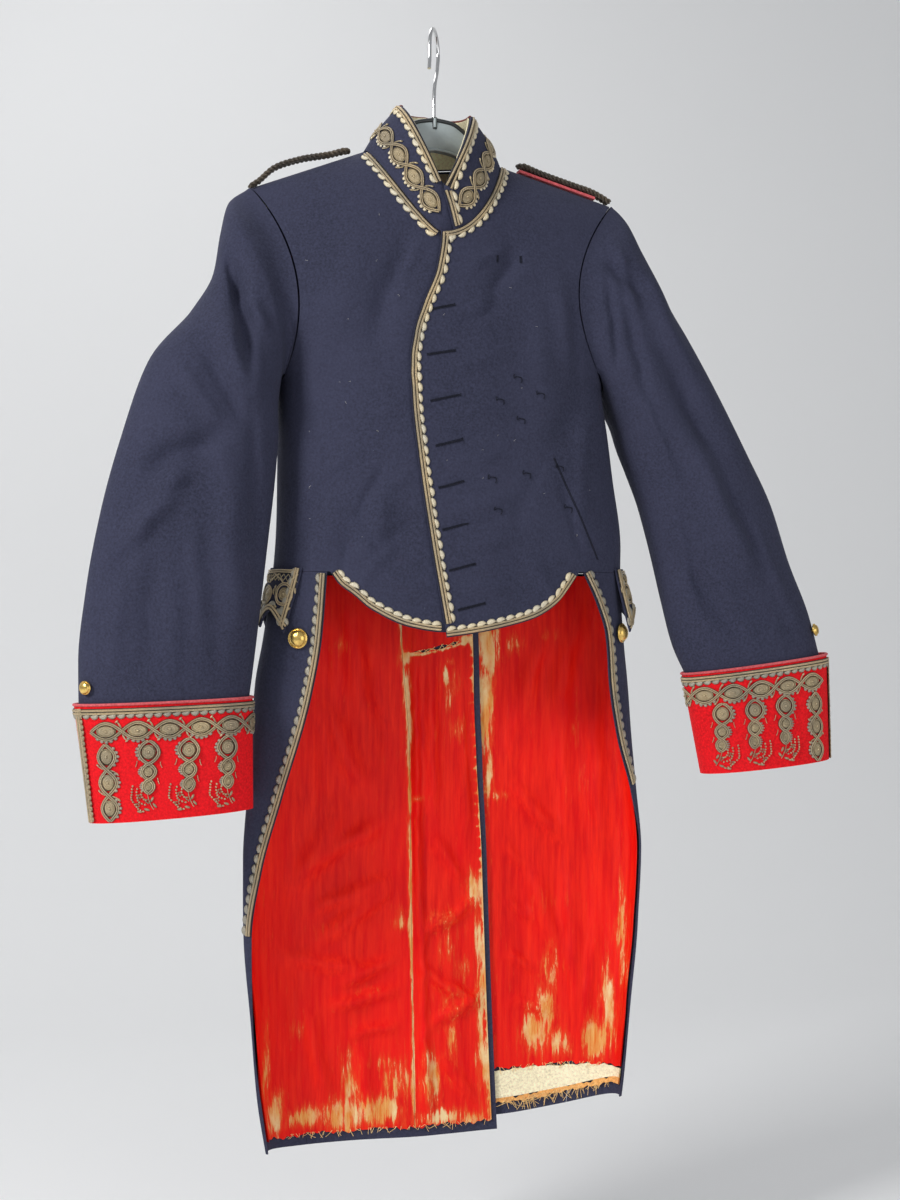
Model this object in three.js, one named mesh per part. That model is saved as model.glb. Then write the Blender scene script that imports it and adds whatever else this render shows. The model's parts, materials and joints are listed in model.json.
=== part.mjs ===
// A tailcoat of navy cloth with gold braid edges and red tail linings, on a plain plastic hanger.
// Millimetres. X points to the wearer's left, Y to the back of the coat and Z up. The origin is
// the inside of the hook's top, where the hanger bears on its rail. "Right" and "left" are the
// wearer's, so the right pieces have negative X.
import * as THREE from 'three';

// Driving dimensions
const CLOTH = 2.0;            // navy cloth with its interlining
const LINING = 1.2;           // red, cream and neck linings
const CUFF_CLOTH = 1.6;       // the red cuff's wall
const SEAM = 0.4;             // gap that two pieces keep where they meet
const LAP = 3.2;              // how far the left front lies out over the right one
const VENT_LAP = 5.6;         // how far the right tail lies in under the left one
const BRAID_WIDTH = 6;        // the plain double cord along an edge
const SCALLOP_DEPTH = 5;      // the scallops along its inner side
const SCALLOP_PITCH = 10.7;
const BRAID_HEIGHT = 1.1;
const BRAID_CLEARANCE = 0.8;  // room under the braid for the cloth's facets
const ARMPIT = -378;          // height of the armpits
const WAIST = -572;           // height of the waist seam
const NECK_FRONT = { x: -7, z: -223 };
const WIRE = 4;               // the hook's wire
const HOOK_INSIDE = 40;       // the hook's inner width
const FLAP_BUTTON = 21;
const CUFF_BUTTON = 14;
const CORD = 6.5;

// Shoulder line and armhole of each side, and how far the armhole is cut in at its middle
const SIDES = {
  right: {
    sign: -1, neckX: 75.5, neckZ: -131, tipX: 194, tipZ: -175, armpitX: -165, cutIn: 27, neckPower: 1.3,
  },
  left: { sign: 1, neckX: 70, neckZ: -139, tipX: 194, tipZ: -176, armpitX: 182, cutIn: 45, neckPower: 2.2 },
};
const BACK_CUT_IN = 0.65;     // share of the cut-in on the back of the armhole
const NECK_BACK_Z = -141;

// Horizontal sections of the body and the tails
const SECTIONS = [
  { z: -80, centre: 0, half: 215, front: 73, back: 54 },
  { z: -250, centre: 0, half: 214, front: 73, back: 54 },
  { z: -310, centre: 4, half: 196, front: 74, back: 55 },
  { z: -345, centre: 7, half: 180, front: 75, back: 55 },
  { z: -378, centre: 8.5, half: 173.5, front: 76, back: 55 },
  { z: -407, centre: 9.7, half: 175.7, front: 77, back: 55 },
  { z: -428, centre: 11.2, half: 177.3, front: 78, back: 54 },
  { z: -471, centre: 13.8, half: 180.2, front: 79, back: 51 },
  { z: -536, centre: 17.5, half: 185.5, front: 79, back: 47 },
  { z: -572, centre: 16, half: 187, front: 78, back: 46 },
  { z: -640, centre: 13, half: 194, front: 72, back: 48 },
  { z: -688, centre: 11.5, half: 201, front: 60, back: 50 },
  { z: -750, centre: 12, half: 206, front: 48, back: 52 },
  { z: -806, centre: 13, half: 211, front: 36, back: 53 },
  { z: -870, centre: 14, half: 216, front: 25, back: 54 },
  { z: -950, centre: 12.5, half: 214, front: 15, back: 55 },
  { z: -1040, centre: 12, half: 206, front: 11, back: 55 },
  { z: -1119, centre: 11.5, half: 199, front: 9, back: 54 },
  { z: -1190, centre: 12, half: 188, front: 8, back: 52 },
];
const ROUNDNESS = 2.4;        // exponent of the sections

// Large soft folds: from one point to another in the front view, with half width and height
const BODY_FOLDS = [
  { x1: -42, z1: -238, x2: -76, z2: -332, width: 14, height: -3.5 },
  { x1: 44, z1: -300, x2: 72, z2: -240, width: 11, height: -3 },
  { x1: -70, z1: -500, x2: -86, z2: -556, width: 13, height: 3.5 },
  { x1: -118, z1: -505, x2: -135, z2: -560, width: 14, height: 3 },
  { x1: 150, z1: -380, x2: 120, z2: -440, width: 16, height: -3 },
];

// Edges in the front view
const LEFT_FRONT_EDGE = [
  { z: -80, x: -7 },
  { z: -223, x: -7 },
  { z: -262, x: -13 },
  { z: -297, x: -27 },
  { z: -330, x: -38 },
  { z: -358, x: -41.5 },
  { z: -400, x: -40 },
  { z: -449, x: -35 },
  { z: -550, x: -20 },
  { z: -639, x: -3 },
];
const UNDERLAP_X = 26;        // the right front's hidden edge, past the left front's edge
const RIGHT_WAIST_EDGE = [
  { x: -121, z: -572 },
  { x: -112, z: -585 },
  { x: -98, z: -596 },
  { x: -80, z: -611 },
  { x: -40, z: -629 },
  { x: -6, z: -634 },
  { x: 40, z: -626 },
];
const LEFT_WAIST_EDGE = [
  { x: -4, z: -639 },
  { x: 19, z: -636 },
  { x: 53, z: -630 },
  { x: 88, z: -621 },
  { x: 109, z: -610 },
  { x: 125, z: -594 },
  { x: 141, z: -572 },
];
const SKIRT_FRONT_EDGE = {
  right: [
    { z: -572, x: -124 },
    { z: -642, x: -129 },
    { z: -702, x: -138 },
    { z: -806, x: -165 },
    { z: -880, x: -184 },
    { z: -952, x: -194 },
    { z: -1040, x: -192.5 },
    { z: -1180, x: -176 },
  ],
  left: [
    { z: -572, x: 146 },
    { z: -605, x: 164 },
    { z: -636, x: 176 },
    { z: -696, x: 184 },
    { z: -750, x: 196 },
    { z: -806, x: 215 },
    { z: -870, x: 228.5 },
    { z: -950, x: 226 },
    { z: -1040, x: 217.5 },
    { z: -1180, x: 200 },
  ],
};
const VENT_EDGE = [
  { z: -560, x: 57 },
  { z: -636, x: 59 },
  { z: -820, x: 67 },
  { z: -1038, x: 75 },
  { z: -1190, x: 81 },
];
const HEM = {
  right: [
    { x: -210, z: -1172 },
    { x: -135, z: -1179 },
    { x: -26, z: -1181 },
    { x: 90, z: -1177 },
  ],
  left: [
    { x: -20, z: -1168 },
    { x: 85, z: -1163 },
    { x: 150, z: -1153 },
    { x: 220, z: -1134 },
  ],
};
const PLEAT_ANGLE = 135;      // degrees round from the front, where back and skirt meet

// Rings of the sleeves from the armhole down: inner and outer point in the front view, half
// depth, place of the middle in depth, and how far the ring bends in towards the body
const SLEEVES = {
  right: [
    { ring: 0, inX: -165, inZ: -378, outX: -194, outZ: -175, depth: 58, y: 0, bend: 27 },
    { ring: 1, inX: -166, inZ: -386, outX: -216, outZ: -193, depth: 56, y: -6, bend: 20 },
    { ring: 2, inX: -167, inZ: -396, outX: -225, outZ: -226, depth: 53, y: -14, bend: 12 },
    { ring: 3, inX: -168, inZ: -410, outX: -233, outZ: -268, depth: 50, y: -22, bend: 5 },
    { ring: 4, inX: -168, inZ: -428, outX: -256, outZ: -308, depth: 47, y: -31, bend: 0 },
    { ring: 5, inX: -170, inZ: -450, outX: -298, outZ: -358, depth: 44, y: -38, bend: 0 },
    { ring: 6, inX: -174, inZ: -490, outX: -327, outZ: -438, depth: 42, y: -42, bend: 0 },
    { ring: 7, inX: -180, inZ: -540, outX: -347, outZ: -512, depth: 40, y: -43, bend: 0 },
    { ring: 8, inX: -187, inZ: -601, outX: -361.5, outZ: -590, depth: 38, y: -43, bend: 0 },
    { ring: 9, inX: -194, inZ: -661, outX: -369, outZ: -661, depth: 35, y: -42, bend: 0 },
    { ring: 10, inX: -201, inZ: -713, outX: -368.5, outZ: -718, depth: 32, y: -42, bend: 0 },
  ],
  left: [
    { ring: 0, inX: 182, inZ: -378, outX: 194, outZ: -176, depth: 58, y: 0, bend: 45 },
    { ring: 1, inX: 185.5, inZ: -390, outX: 210, outZ: -195, depth: 56, y: -2, bend: 34 },
    { ring: 2, inX: 190, inZ: -405, outX: 224, outZ: -226, depth: 53, y: -5, bend: 20 },
    { ring: 3, inX: 195.5, inZ: -421, outX: 242.5, outZ: -268, depth: 50, y: -8, bend: 9 },
    { ring: 4, inX: 200, inZ: -441, outX: 272, outZ: -314, depth: 47, y: -10, bend: 3 },
    { ring: 5, inX: 208, inZ: -464, outX: 305.5, outZ: -372, depth: 44, y: -12, bend: 0 },
    { ring: 6, inX: 220, inZ: -496, outX: 342.5, outZ: -442, depth: 42, y: -13, bend: 0 },
    { ring: 7, inX: 234, inZ: -547, outX: 369.5, outZ: -496, depth: 40, y: -14, bend: 0 },
    { ring: 8, inX: 247, inZ: -601, outX: 391.5, outZ: -560, depth: 38, y: -14, bend: 0 },
    { ring: 9, inX: 259, inZ: -648, outX: 414, outZ: -615, depth: 35, y: -15, bend: 0 },
    { ring: 10, inX: 283, inZ: -698, outX: 432, outZ: -679, depth: 32, y: -15, bend: 0 },
  ],
};
const SLEEVE_FOLDS = {
  right: [
    { x1: -214, z1: -262, x2: -206, z2: -372, width: 8, height: -7 },
    { x1: -236, z1: -322, x2: -196, z2: -392, width: 16, height: 6 },
    { x1: -302, z1: -472, x2: -236, z2: -438, width: 12, height: -5 },
    { x1: -318, z1: -545, x2: -272, z2: -470, width: 13, height: 4.5 },
    { x1: -226, z1: -470, x2: -214, z2: -640, width: 17, height: 4 },
  ],
  left: [
    { x1: 176, z1: -246, x2: 214, z2: -274, width: 8, height: -4.5 },
    { x1: 222, z1: -250, x2: 262, z2: -352, width: 14, height: 5 },
    { x1: 236, z1: -330, x2: 300, z2: -452, width: 15, height: -5 },
    { x1: 272, z1: -440, x2: 330, z2: -560, width: 15, height: 5 },
    { x1: 262, z1: -560, x2: 330, z2: -640, width: 14, height: -4 },
  ],
};

// Cuffs: the corners of the flattened tube, top and bottom, with half depth and place in depth
const CUFFS = {
  right: [
    { at: 0, inX: -197.5, inZ: -699, outX: -375.2, outZ: -705, depth: 35.6, y: -42 },
    { at: 1, inX: -197, inZ: -811, outX: -360, outZ: -822, depth: 34, y: -42 },
  ],
  left: [
    { at: 0, inX: 272.5, inZ: -681, outX: 438, outZ: -660, depth: 35.6, y: -15 },
    { at: 1, inX: 294, inZ: -789, outX: 441, outZ: -775, depth: 34, y: -15 },
  ],
};

// Pocket flaps: where the front corner lies, how far the lower edge stands off the skirt, and
// how far the lower edge hangs below the waist seam from the front point to the back one
const FLAPS = {
  right: { frontX: -147, stand: 5 },
  left: { frontX: 186, stand: 11 },
};
const FLAP_CLOTH = 2;
const FLAP_RISE = 4;          // how far the flap's top edge lies above the waist seam
const FLAP_LENGTH = 150;
const FLAP_SLANT = 12;        // how far each end slants in towards its point
const FLAP_EDGE = [
  { across: 0, drop: 63 },
  { across: 0.12, drop: 51 },
  { across: 0.28, drop: 41 },
  { across: 0.42, drop: 48 },
  { across: 0.5, drop: 58 },
  { across: 0.58, drop: 48 },
  { across: 0.72, drop: 41 },
  { across: 0.88, drop: 51 },
  { across: 1, drop: 63 },
];

// Buttons: below each flap's front point on the skirt, and above each cuff on the sleeve
const FLAP_BUTTONS = { right: { x: -151, z: -640, stand: -0.3 }, left: { x: 195, z: -636, stand: 0.4 } };
const CUFF_BUTTONS = { right: { angle: 26, along: 0.945 }, left: { angle: 20, along: 0.93 } };

// Shoulder cords: a loop of cord in the front view, sewn down at the shoulder tip
const CORDS = {
  right: [[-92, -131.4], [-112, -136], [-143, -142.6], [-170, -153], [-186, -167.2], [-195, -173.5]],
  left: [[92, -137.8], [116, -144.6], [150, -154.8], [172, -161.2], [184, -166.8], [193, -172]],
};
const CORD_SPREAD = 9;
const STRAP = { fromX: 92, toX: 176, wide: 13, thick: 3 };

// Hanger: height of the top edge, and depth of the bar below it, over the distance from the middle
const HANGER = [
  { from: 0, top: -91, tall: 36 },
  { from: 18, top: -94, tall: 36 },
  { from: 32, top: -103, tall: 35 },
  { from: 50, top: -125, tall: 31 },
  { from: 66, top: -142.2, tall: 27 },
  { from: 84, top: -148.2, tall: 25 },
  { from: 130, top: -161, tall: 24 },
  { from: 172, top: -174.2, tall: 20 },
  { from: 184, top: -179.5, tall: 13 },
];
const HANGER_HALF_THICK = 6;

const MATERIALS = {
  navy: new THREE.MeshStandardMaterial({ name: 'navy', color: 0x35394f, roughness: 0.92 }),
  red: new THREE.MeshStandardMaterial({ name: 'red', color: 0xdf0b12, roughness: 0.75 }),
  cuffRed: new THREE.MeshStandardMaterial({ name: 'cuffRed', color: 0xd8242e, roughness: 0.9 }),
  cream: new THREE.MeshStandardMaterial({ name: 'cream', color: 0xf3e4b4, roughness: 0.9 }),
  frayed: new THREE.MeshStandardMaterial({ name: 'frayed', color: 0xe8923f, roughness: 0.9 }),
  buff: new THREE.MeshStandardMaterial({ name: 'buff', color: 0xa79b86, roughness: 0.9 }),
  gold: new THREE.MeshStandardMaterial({ name: 'gold', color: 0xb79c68, roughness: 0.5, metalness: 0.5 }),
  brass: new THREE.MeshStandardMaterial({ name: 'brass', color: 0xe0b94f, roughness: 0.3, metalness: 1 }),
  cord: new THREE.MeshStandardMaterial({ name: 'cord', color: 0x6b604e, roughness: 0.7 }),
  plastic: new THREE.MeshStandardMaterial({ name: 'plastic', color: 0x93999a, roughness: 0.45 }),
  chrome: new THREE.MeshStandardMaterial({ name: 'chrome', color: 0xc8cacc, roughness: 0.15, metalness: 1 }),
};

// Numbers
const clamp = (value, low = 0, high = 1) => Math.min(high, Math.max(low, value));
const mix = (a, b, t) => a + (b - a) * t;
const power = (value, exponent) => Math.sign(value) * Math.abs(value) ** exponent;
const radians = THREE.MathUtils.degToRad;

function ease(t) {
  const u = clamp(t);
  return u * u * (3 - 2 * u);
}

// A smooth curve through a table's rows, with no overshoot. It gives every column at a key.
function smooth(rows, key) {
  const sorted = [...rows].sort((a, b) => a[key] - b[key]);
  const columns = Object.keys(rows[0]).filter((column) => column !== key);
  const slopes = {};
  for (const column of columns) {
    const secants = sorted.slice(1).map(
      (row, i) => (row[column] - sorted[i][column]) / (row[key] - sorted[i][key]),
    );
    slopes[column] = sorted.map((row, i) => {
      const before = secants[Math.max(i - 1, 0)];
      const after = secants[Math.min(i, secants.length - 1)];
      if (before * after <= 0) return 0;
      return (2 * before * after) / (before + after);
    });
  }
  return (at) => {
    const last = sorted.length - 1;
    const v = clamp(at, sorted[0][key], sorted[last][key]);
    let i = 0;
    while (i < last - 1 && v > sorted[i + 1][key]) i += 1;
    const span = sorted[i + 1][key] - sorted[i][key];
    const t = (v - sorted[i][key]) / span;
    const result = {};
    for (const column of columns) {
      const a = sorted[i][column];
      const b = sorted[i + 1][column];
      const slopeA = slopes[column][i] * span;
      const slopeB = slopes[column][i + 1] * span;
      const t2 = t * t;
      const t3 = t2 * t;
      result[column] = (2 * t3 - 3 * t2 + 1) * a + (t3 - 2 * t2 + t) * slopeA
        + (3 * t2 - 2 * t3) * b + (t3 - t2) * slopeB;
    }
    return result;
  };
}

// How far folds raise the cloth at a place in the front view
function foldHeight(folds, x, z) {
  let height = 0;
  for (const fold of folds) {
    const runX = fold.x2 - fold.x1;
    const runZ = fold.z2 - fold.z1;
    const length = Math.hypot(runX, runZ);
    const along = ((x - fold.x1) * runX + (z - fold.z1) * runZ) / length;
    const across = ((x - fold.x1) * runZ - (z - fold.z1) * runX) / length;
    const near = ease((along + 0.3 * length) / (0.6 * length));
    const ends = near * ease((1.3 * length - along) / (0.6 * length));
    height += fold.height * ends * Math.exp(-((across / fold.width) ** 2));
  }
  return height;
}

// Closed solids. A surface is a function of two parameters, and lift is a distance out from it.
function liftedPoint(surface, a, b, lift) {
  const step = 0.002;
  const alongA = surface(a + step, b).sub(surface(a - step, b));
  const alongB = surface(a, b + step).sub(surface(a, b - step));
  const normal = alongA.cross(alongB).normalize();
  return surface(a, b).addScaledVector(normal, lift);
}

function solidFromGrids(outer, inner, closedAcross) {
  const rows = outer.length;
  const columns = outer[0].length;
  const positions = [...outer.flat(), ...inner.flat()].flatMap((p) => [p.x, p.y, p.z]);
  const index = [];
  const at = (layer, row, column) => layer * rows * columns + row * columns + (column % columns);
  const quad = (p, q, r, s) => index.push(p, q, r, p, r, s);
  const acrossCount = closedAcross ? columns : columns - 1;
  for (let row = 0; row < rows - 1; row += 1) {
    for (let column = 0; column < acrossCount; column += 1) {
      quad(at(0, row, column), at(0, row, column + 1), at(0, row + 1, column + 1), at(0, row + 1, column));
      quad(at(1, row, column), at(1, row + 1, column), at(1, row + 1, column + 1), at(1, row, column + 1));
    }
    if (!closedAcross) {
      const end = columns - 1;
      quad(at(0, row, 0), at(0, row + 1, 0), at(1, row + 1, 0), at(1, row, 0));
      quad(at(0, row + 1, end), at(0, row, end), at(1, row, end), at(1, row + 1, end));
    }
  }
  for (let column = 0; column < acrossCount; column += 1) {
    const end = rows - 1;
    quad(at(0, 0, column + 1), at(0, 0, column), at(1, 0, column), at(1, 0, column + 1));
    quad(at(0, end, column), at(0, end, column + 1), at(1, end, column + 1), at(1, end, column));
  }
  const geometry = new THREE.BufferGeometry();
  geometry.setAttribute('position', new THREE.Float32BufferAttribute(positions, 3));
  geometry.setIndex(index);
  if (enclosedVolume(geometry) < 0) {
    for (let i = 0; i < index.length; i += 3) [index[i], index[i + 1]] = [index[i + 1], index[i]];
    geometry.setIndex(index);
  }
  geometry.computeVertexNormals();
  return geometry;
}

function enclosedVolume(geometry) {
  const position = geometry.getAttribute('position');
  const index = geometry.getIndex();
  const corners = [new THREE.Vector3(), new THREE.Vector3(), new THREE.Vector3()];
  let volume = 0;
  for (let i = 0; i < index.count; i += 3) {
    corners.forEach((corner, k) => corner.fromBufferAttribute(position, index.getX(i + k)));
    volume += corners[0].dot(corners[1].cross(corners[2])) / 6;
  }
  return volume;
}

// Heights of a patch's rows as shares of it. denser above 1 draws them together towards the top.
function evenLevels(rows, denser = 1) {
  return Array.from({ length: rows + 1 }, (_, row) => 1 - (1 - row / rows) ** denser);
}

// A wall over one patch of a surface: place(u, v) gives the two parameters and the outer lift.
// facing is -1 where the two parameters turn the surface's normal inwards.
function wall({
  surface, place, columns, rows, thickness, levels = evenLevels(rows), facing = 1, closedAcross = false,
}) {
  const outer = [];
  const inner = [];
  for (let row = 0; row <= rows; row += 1) {
    const v = levels[row];
    outer.push([]);
    inner.push([]);
    for (let column = 0; column <= columns - (closedAcross ? 1 : 0); column += 1) {
      const { a, b, lift = 0 } = place(column / columns, v);
      outer[row].push(liftedPoint(surface, a, b, lift * facing));
      inner[row].push(liftedPoint(surface, a, b, (lift - thickness) * facing));
    }
  }
  return solidFromGrids(outer, inner, closedAcross);
}

// A strip of braid on a surface: the path is a list of parameter pairs along the edge. The strip
// lies to the path's left seen from outside, plain at the edge and scalloped at its inner side.
function braid({ surface, path, lift = () => 0, facing = 1, leftward = 1, closed = false }) {
  const stations = path.map(([a, b]) => new THREE.Vector3(a, b, 0));
  const route = new THREE.CatmullRomCurve3(stations, false, 'centripetal');
  const points = route.getPoints(80).map((p) => surface(p.x, p.y));
  const reach = [0];
  points.slice(1).forEach((p, i) => reach.push(reach[i] + p.distanceTo(points[i])));
  const length = reach[reach.length - 1];
  const steps = Math.max(1, Math.round(length / SCALLOP_PITCH)) * 2;
  const outer = [];
  const inner = [];
  for (let step = 0; step <= steps - (closed ? 1 : 0); step += 1) {
    const wanted = (length * step) / steps;
    let i = 1;
    while (i < 80 && reach[i] < wanted) i += 1;
    const t = (i - 1 + (wanted - reach[i - 1]) / (reach[i] - reach[i - 1])) / 80;
    const at = route.getPoint(t);
    const ahead = route.getPoint(Math.min(1, t + 0.004));
    const behind = route.getPoint(Math.max(0, t - 0.004));
    const along = surface(ahead.x, ahead.y).sub(surface(behind.x, behind.y)).normalize();
    const small = 0.002;
    const byA = surface(at.x + small, at.y).sub(surface(at.x - small, at.y)).divideScalar(2 * small);
    const byB = surface(at.x, at.y + small).sub(surface(at.x, at.y - small)).divideScalar(2 * small);
    const normal = byA.clone().cross(byB).normalize().multiplyScalar(facing);
    const width = BRAID_WIDTH + SCALLOP_DEPTH * (step % 2 === 0 ? 0.15 : 1);
    const across = normal.cross(along).multiplyScalar(leftward * width);
    const [aa, ab, bb] = [byA.dot(byA), byA.dot(byB), byB.dot(byB)];
    const [ra, rb] = [byA.dot(across), byB.dot(across)];
    const moveA = (ra * bb - rb * ab) / (aa * bb - ab * ab);
    const moveB = (rb * aa - ra * ab) / (aa * bb - ab * ab);
    const edge = [at.x, at.y];
    const tip = [at.x + moveA, at.y + moveB];
    const raised = (height) => [edge, tip].map(
      ([p, q]) => liftedPoint(surface, p, q, (lift(p, q) + height) * facing),
    );
    outer.push(raised(BRAID_CLEARANCE + BRAID_HEIGHT));
    inner.push(raised(BRAID_CLEARANCE));
  }
  return closed ? solidFromGrids(turned(outer), turned(inner), true) : solidFromGrids(outer, inner, false);
}

const turned = (grid) => grid[0].map((_, column) => grid.map((row) => row[column]));

// The body's surface: the angle goes round from the front, and is positive on the left side
const section = smooth(SECTIONS, 'z');

function shoulderLine(x) {
  const over = (side) => {
    const fall = (side.tipZ - side.neckZ) / (side.tipX - side.neckX);
    return side.neckZ + fall * (Math.abs(x) - side.neckX);
  };
  return mix(over(SIDES.right), over(SIDES.left), ease((x + 40) / 80));
}

function bodySurface(angle, z) {
  const row = section(z);
  const sine = Math.sin(angle);
  const cosine = Math.cos(angle);
  const x = row.centre + row.half * power(sine, 2 / ROUNDNESS);
  const rise = clamp((z - ARMPIT) / (shoulderLine(x) - ARMPIT));
  const front = cosine >= 0;
  const fall = front ? (1 - rise ** 2.5) ** 0.55 : (1 - rise ** 4) ** 0.5;
  const fold = front ? foldHeight(BODY_FOLDS, x, z) * fall * ease(cosine * 3) : 0;
  const depth = (front ? row.front : row.back) * fall + fold;
  const gap = (front ? -SEAM / 2 : SEAM / 2) * rise;
  return new THREE.Vector3(x, gap - power(cosine, 2 / ROUNDNESS) * depth, z);
}

function angleAt(x, z, back = false) {
  const row = section(z);
  const angle = Math.asin(power(clamp((x - row.centre) / row.half, -1, 1), ROUNDNESS / 2));
  if (!back) return angle;
  return Math.sign(angle || 1) * (Math.PI - Math.abs(angle));
}

function armholeX(side, z, back) {
  const s = SIDES[side];
  const outX = s.sign * s.tipX;
  const along = clamp((2 * z - ARMPIT - s.tipZ) / (s.tipZ - ARMPIT), -1, 1);
  const cut = s.cutIn * (back ? BACK_CUT_IN : 1) * (1 - along * along);
  return mix(s.armpitX, outX, (along + 1) / 2) - s.sign * cut;
}

// Height of the neck seam and the shoulder seam over x
function topEdge(side, x, back) {
  const s = SIDES[side];
  const share = clamp(((x - NECK_FRONT.x) * s.sign) / (s.neckX + NECK_FRONT.x * s.sign * -1));
  if (share >= 1) return shoulderLine(x);
  if (back) return NECK_BACK_Z + (shoulderLine(s.sign * s.neckX) - NECK_BACK_Z) * share ** 3;
  return mix(NECK_FRONT.z, shoulderLine(s.sign * s.neckX), share ** s.neckPower);
}

// The side-back seam runs evenly back from the armpit to the pleat at the waist
function sideBackAngle(z) {
  const along = clamp((ARMPIT - z) / (ARMPIT - WAIST));
  return Math.PI / 2 + Math.asin(Math.sin(radians(PLEAT_ANGLE - 90)) * along ** (ROUNDNESS / 2));
}

const leftEdge = smooth(LEFT_FRONT_EDGE, 'z');
const rightWaist = smooth(RIGHT_WAIST_EDGE, 'x');
const leftWaist = smooth(LEFT_WAIST_EDGE, 'x');
const skirtEdge = { right: smooth(SKIRT_FRONT_EDGE.right, 'z'), left: smooth(SKIRT_FRONT_EDGE.left, 'z') };
const ventEdge = smooth(VENT_EDGE, 'z');
const hem = { right: smooth(HEM.right, 'x'), left: smooth(HEM.left, 'x') };

// Lift of the left front: it lies over the right one and settles back beside it
function lapLift(x) {
  return LAP * (1 - ease((x - UNDERLAP_X - 4) / 45));
}

// Depth of the right tail's edge in under the left tail
function ventLift(x, z) {
  return -VENT_LAP * ease((x + 84) / 90) * ease((WAIST + 68 - z) / 45);
}

// A patch between a lower and an upper edge: the angle runs from near to far at each height.
// A corner of the lower edge gets a column of its own where cornerX names it. waistShare is the
// share of the rows below the waist, for a patch that runs past it.
function patch({ near, far, low, high, columns = 1, cornerX = null, waistShare = 0 }) {
  const between = (u) => {
    const angleOf = (z) => mix(near(z), far(z), u);
    let bottom = low(0);
    let top = high(0);
    for (let pass = 0; pass < 14; pass += 1) {
      bottom = mix(bottom, low(bodySurface(angleOf(bottom), bottom).x), 0.7);
      top = mix(top, high(bodySurface(angleOf(top), top).x), 0.7);
    }
    return { angleOf, bottom, top };
  };
  let corner = null;
  if (cornerX !== null) {
    const cornerAngle = angleAt(cornerX, WAIST);
    corner = (cornerAngle - near(WAIST)) / (far(WAIST) - near(WAIST));
  }
  return (column, v) => {
    let u = column;
    if (corner !== null) {
      const split = Math.round(corner * columns) / columns;
      u = column <= split ? (column / split) * corner : mix(corner, 1, (column - split) / (1 - split));
    }
    const { angleOf, bottom, top } = between(u);
    let z = mix(bottom, top, v);
    if (waistShare > 0) {
      z = v < waistShare
        ? mix(bottom, WAIST, v / waistShare)
        : mix(WAIST, top, (v - waistShare) / (1 - waistShare));
    }
    return { a: angleOf(z), b: z };
  };
}

const HALF_GAP_ANGLE = 0.0022;
const FRONT_COLUMNS = 12;
const BODY_ROWS = 18;
const TAIL_ROWS = 12;
const bodyLevels = evenLevels(BODY_ROWS, 1.4);
const NOTCH = { right: -121, left: 141 };

function frontPanel(side) {
  const { sign } = SIDES[side];
  const hiddenEdge = (z) => mix(NECK_FRONT.x - 1, UNDERLAP_X, ease((-223 - z) / 90));
  const near = (z) => angleAt(side === 'left' ? leftEdge(z).x : hiddenEdge(z), z);
  const far = (z) => {
    if (z > ARMPIT) return angleAt(armholeX(side, z, false), z);
    return sign * (sideBackAngle(z) - HALF_GAP_ANGLE);
  };
  const waistEdge = side === 'left' ? leftWaist : rightWaist;
  const low = (x) => ((x - NOTCH[side]) * sign > -0.01 ? WAIST : waistEdge(x).z);
  const place = patch({
    near, far, low, high: (x) => topEdge(side, x, false), columns: FRONT_COLUMNS, cornerX: NOTCH[side],
  });
  return wall({
    surface: bodySurface,
    place: (u, v) => {
      const p = place(u, v);
      return { ...p, lift: side === 'left' ? lapLift(bodySurface(p.a, p.b).x) : 0 };
    },
    columns: FRONT_COLUMNS,
    rows: BODY_ROWS,
    thickness: CLOTH,
    levels: bodyLevels,
  });
}

function backPanel(side) {
  const { sign } = SIDES[side];
  const near = (z) => {
    const centre = section(z).centre + (SEAM / 2) * sign;
    if (side === 'left') return angleAt(centre, z, true);
    return angleBeyond(mix(centre, ventEdge(z).x, ease((WAIST + 24 - z) / 16)), z);
  };
  const far = (z) => {
    if (z > ARMPIT) return angleAt(armholeX(side, z, true), z, true);
    return sign * (sideBackAngle(z) + HALF_GAP_ANGLE);
  };
  const place = patch({
    near, far, low: (x) => hem[side](x).z, high: (x) => topEdge(side, x, true), waistShare: 0.5,
  });
  return wall({
    surface: bodySurface,
    place: (u, v) => {
      const p = place(u, v);
      return { ...p, lift: side === 'right' ? ventLift(bodySurface(p.a, p.b).x, p.b) : 0 };
    },
    columns: 8,
    rows: TAIL_ROWS + BODY_ROWS,
    thickness: CLOTH,
    levels: [
      ...evenLevels(TAIL_ROWS).map((level) => level / 2),
      ...bodyLevels.slice(1).map((level) => 0.5 + level / 2),
    ],
  });
}

// The angle on the back, counted on past the centre line on the right side
function angleBeyond(x, z) {
  const angle = angleAt(x, z, true);
  return angle > 0 ? angle - 2 * Math.PI : angle;
}

function skirtPanel(side) {
  const { sign } = SIDES[side];
  const place = patch({
    near: (z) => angleAt(skirtEdge[side](z).x, z),
    far: (z) => sign * (sideBackAngle(z) - HALF_GAP_ANGLE),
    low: (x) => hem[side](x).z,
    high: () => WAIST - SEAM,
  });
  return wall({ surface: bodySurface, place, columns: 7, rows: TAIL_ROWS, thickness: CLOTH });
}

// The red linings lie inside the tails, with the navy cloth's edges showing round them. The
// left one ends at a tear, with cream interlining and a frayed strip of hem below it.
const EDGE_SHOWN = 6;
const HEM_SHOWN = 11;
const TEAR = smooth(
  [{ x: 10, z: -1117 }, { x: 80, z: -1114 }, { x: 150, z: -1109 }, { x: 225, z: -1106 }], 'x',
);
const FRAYED_STRIP = 9;
const LINING_CLEARANCE = 0.9;
const liningSeamX = (z) => mix(-20, -11, (WAIST - z) / 610);

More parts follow.
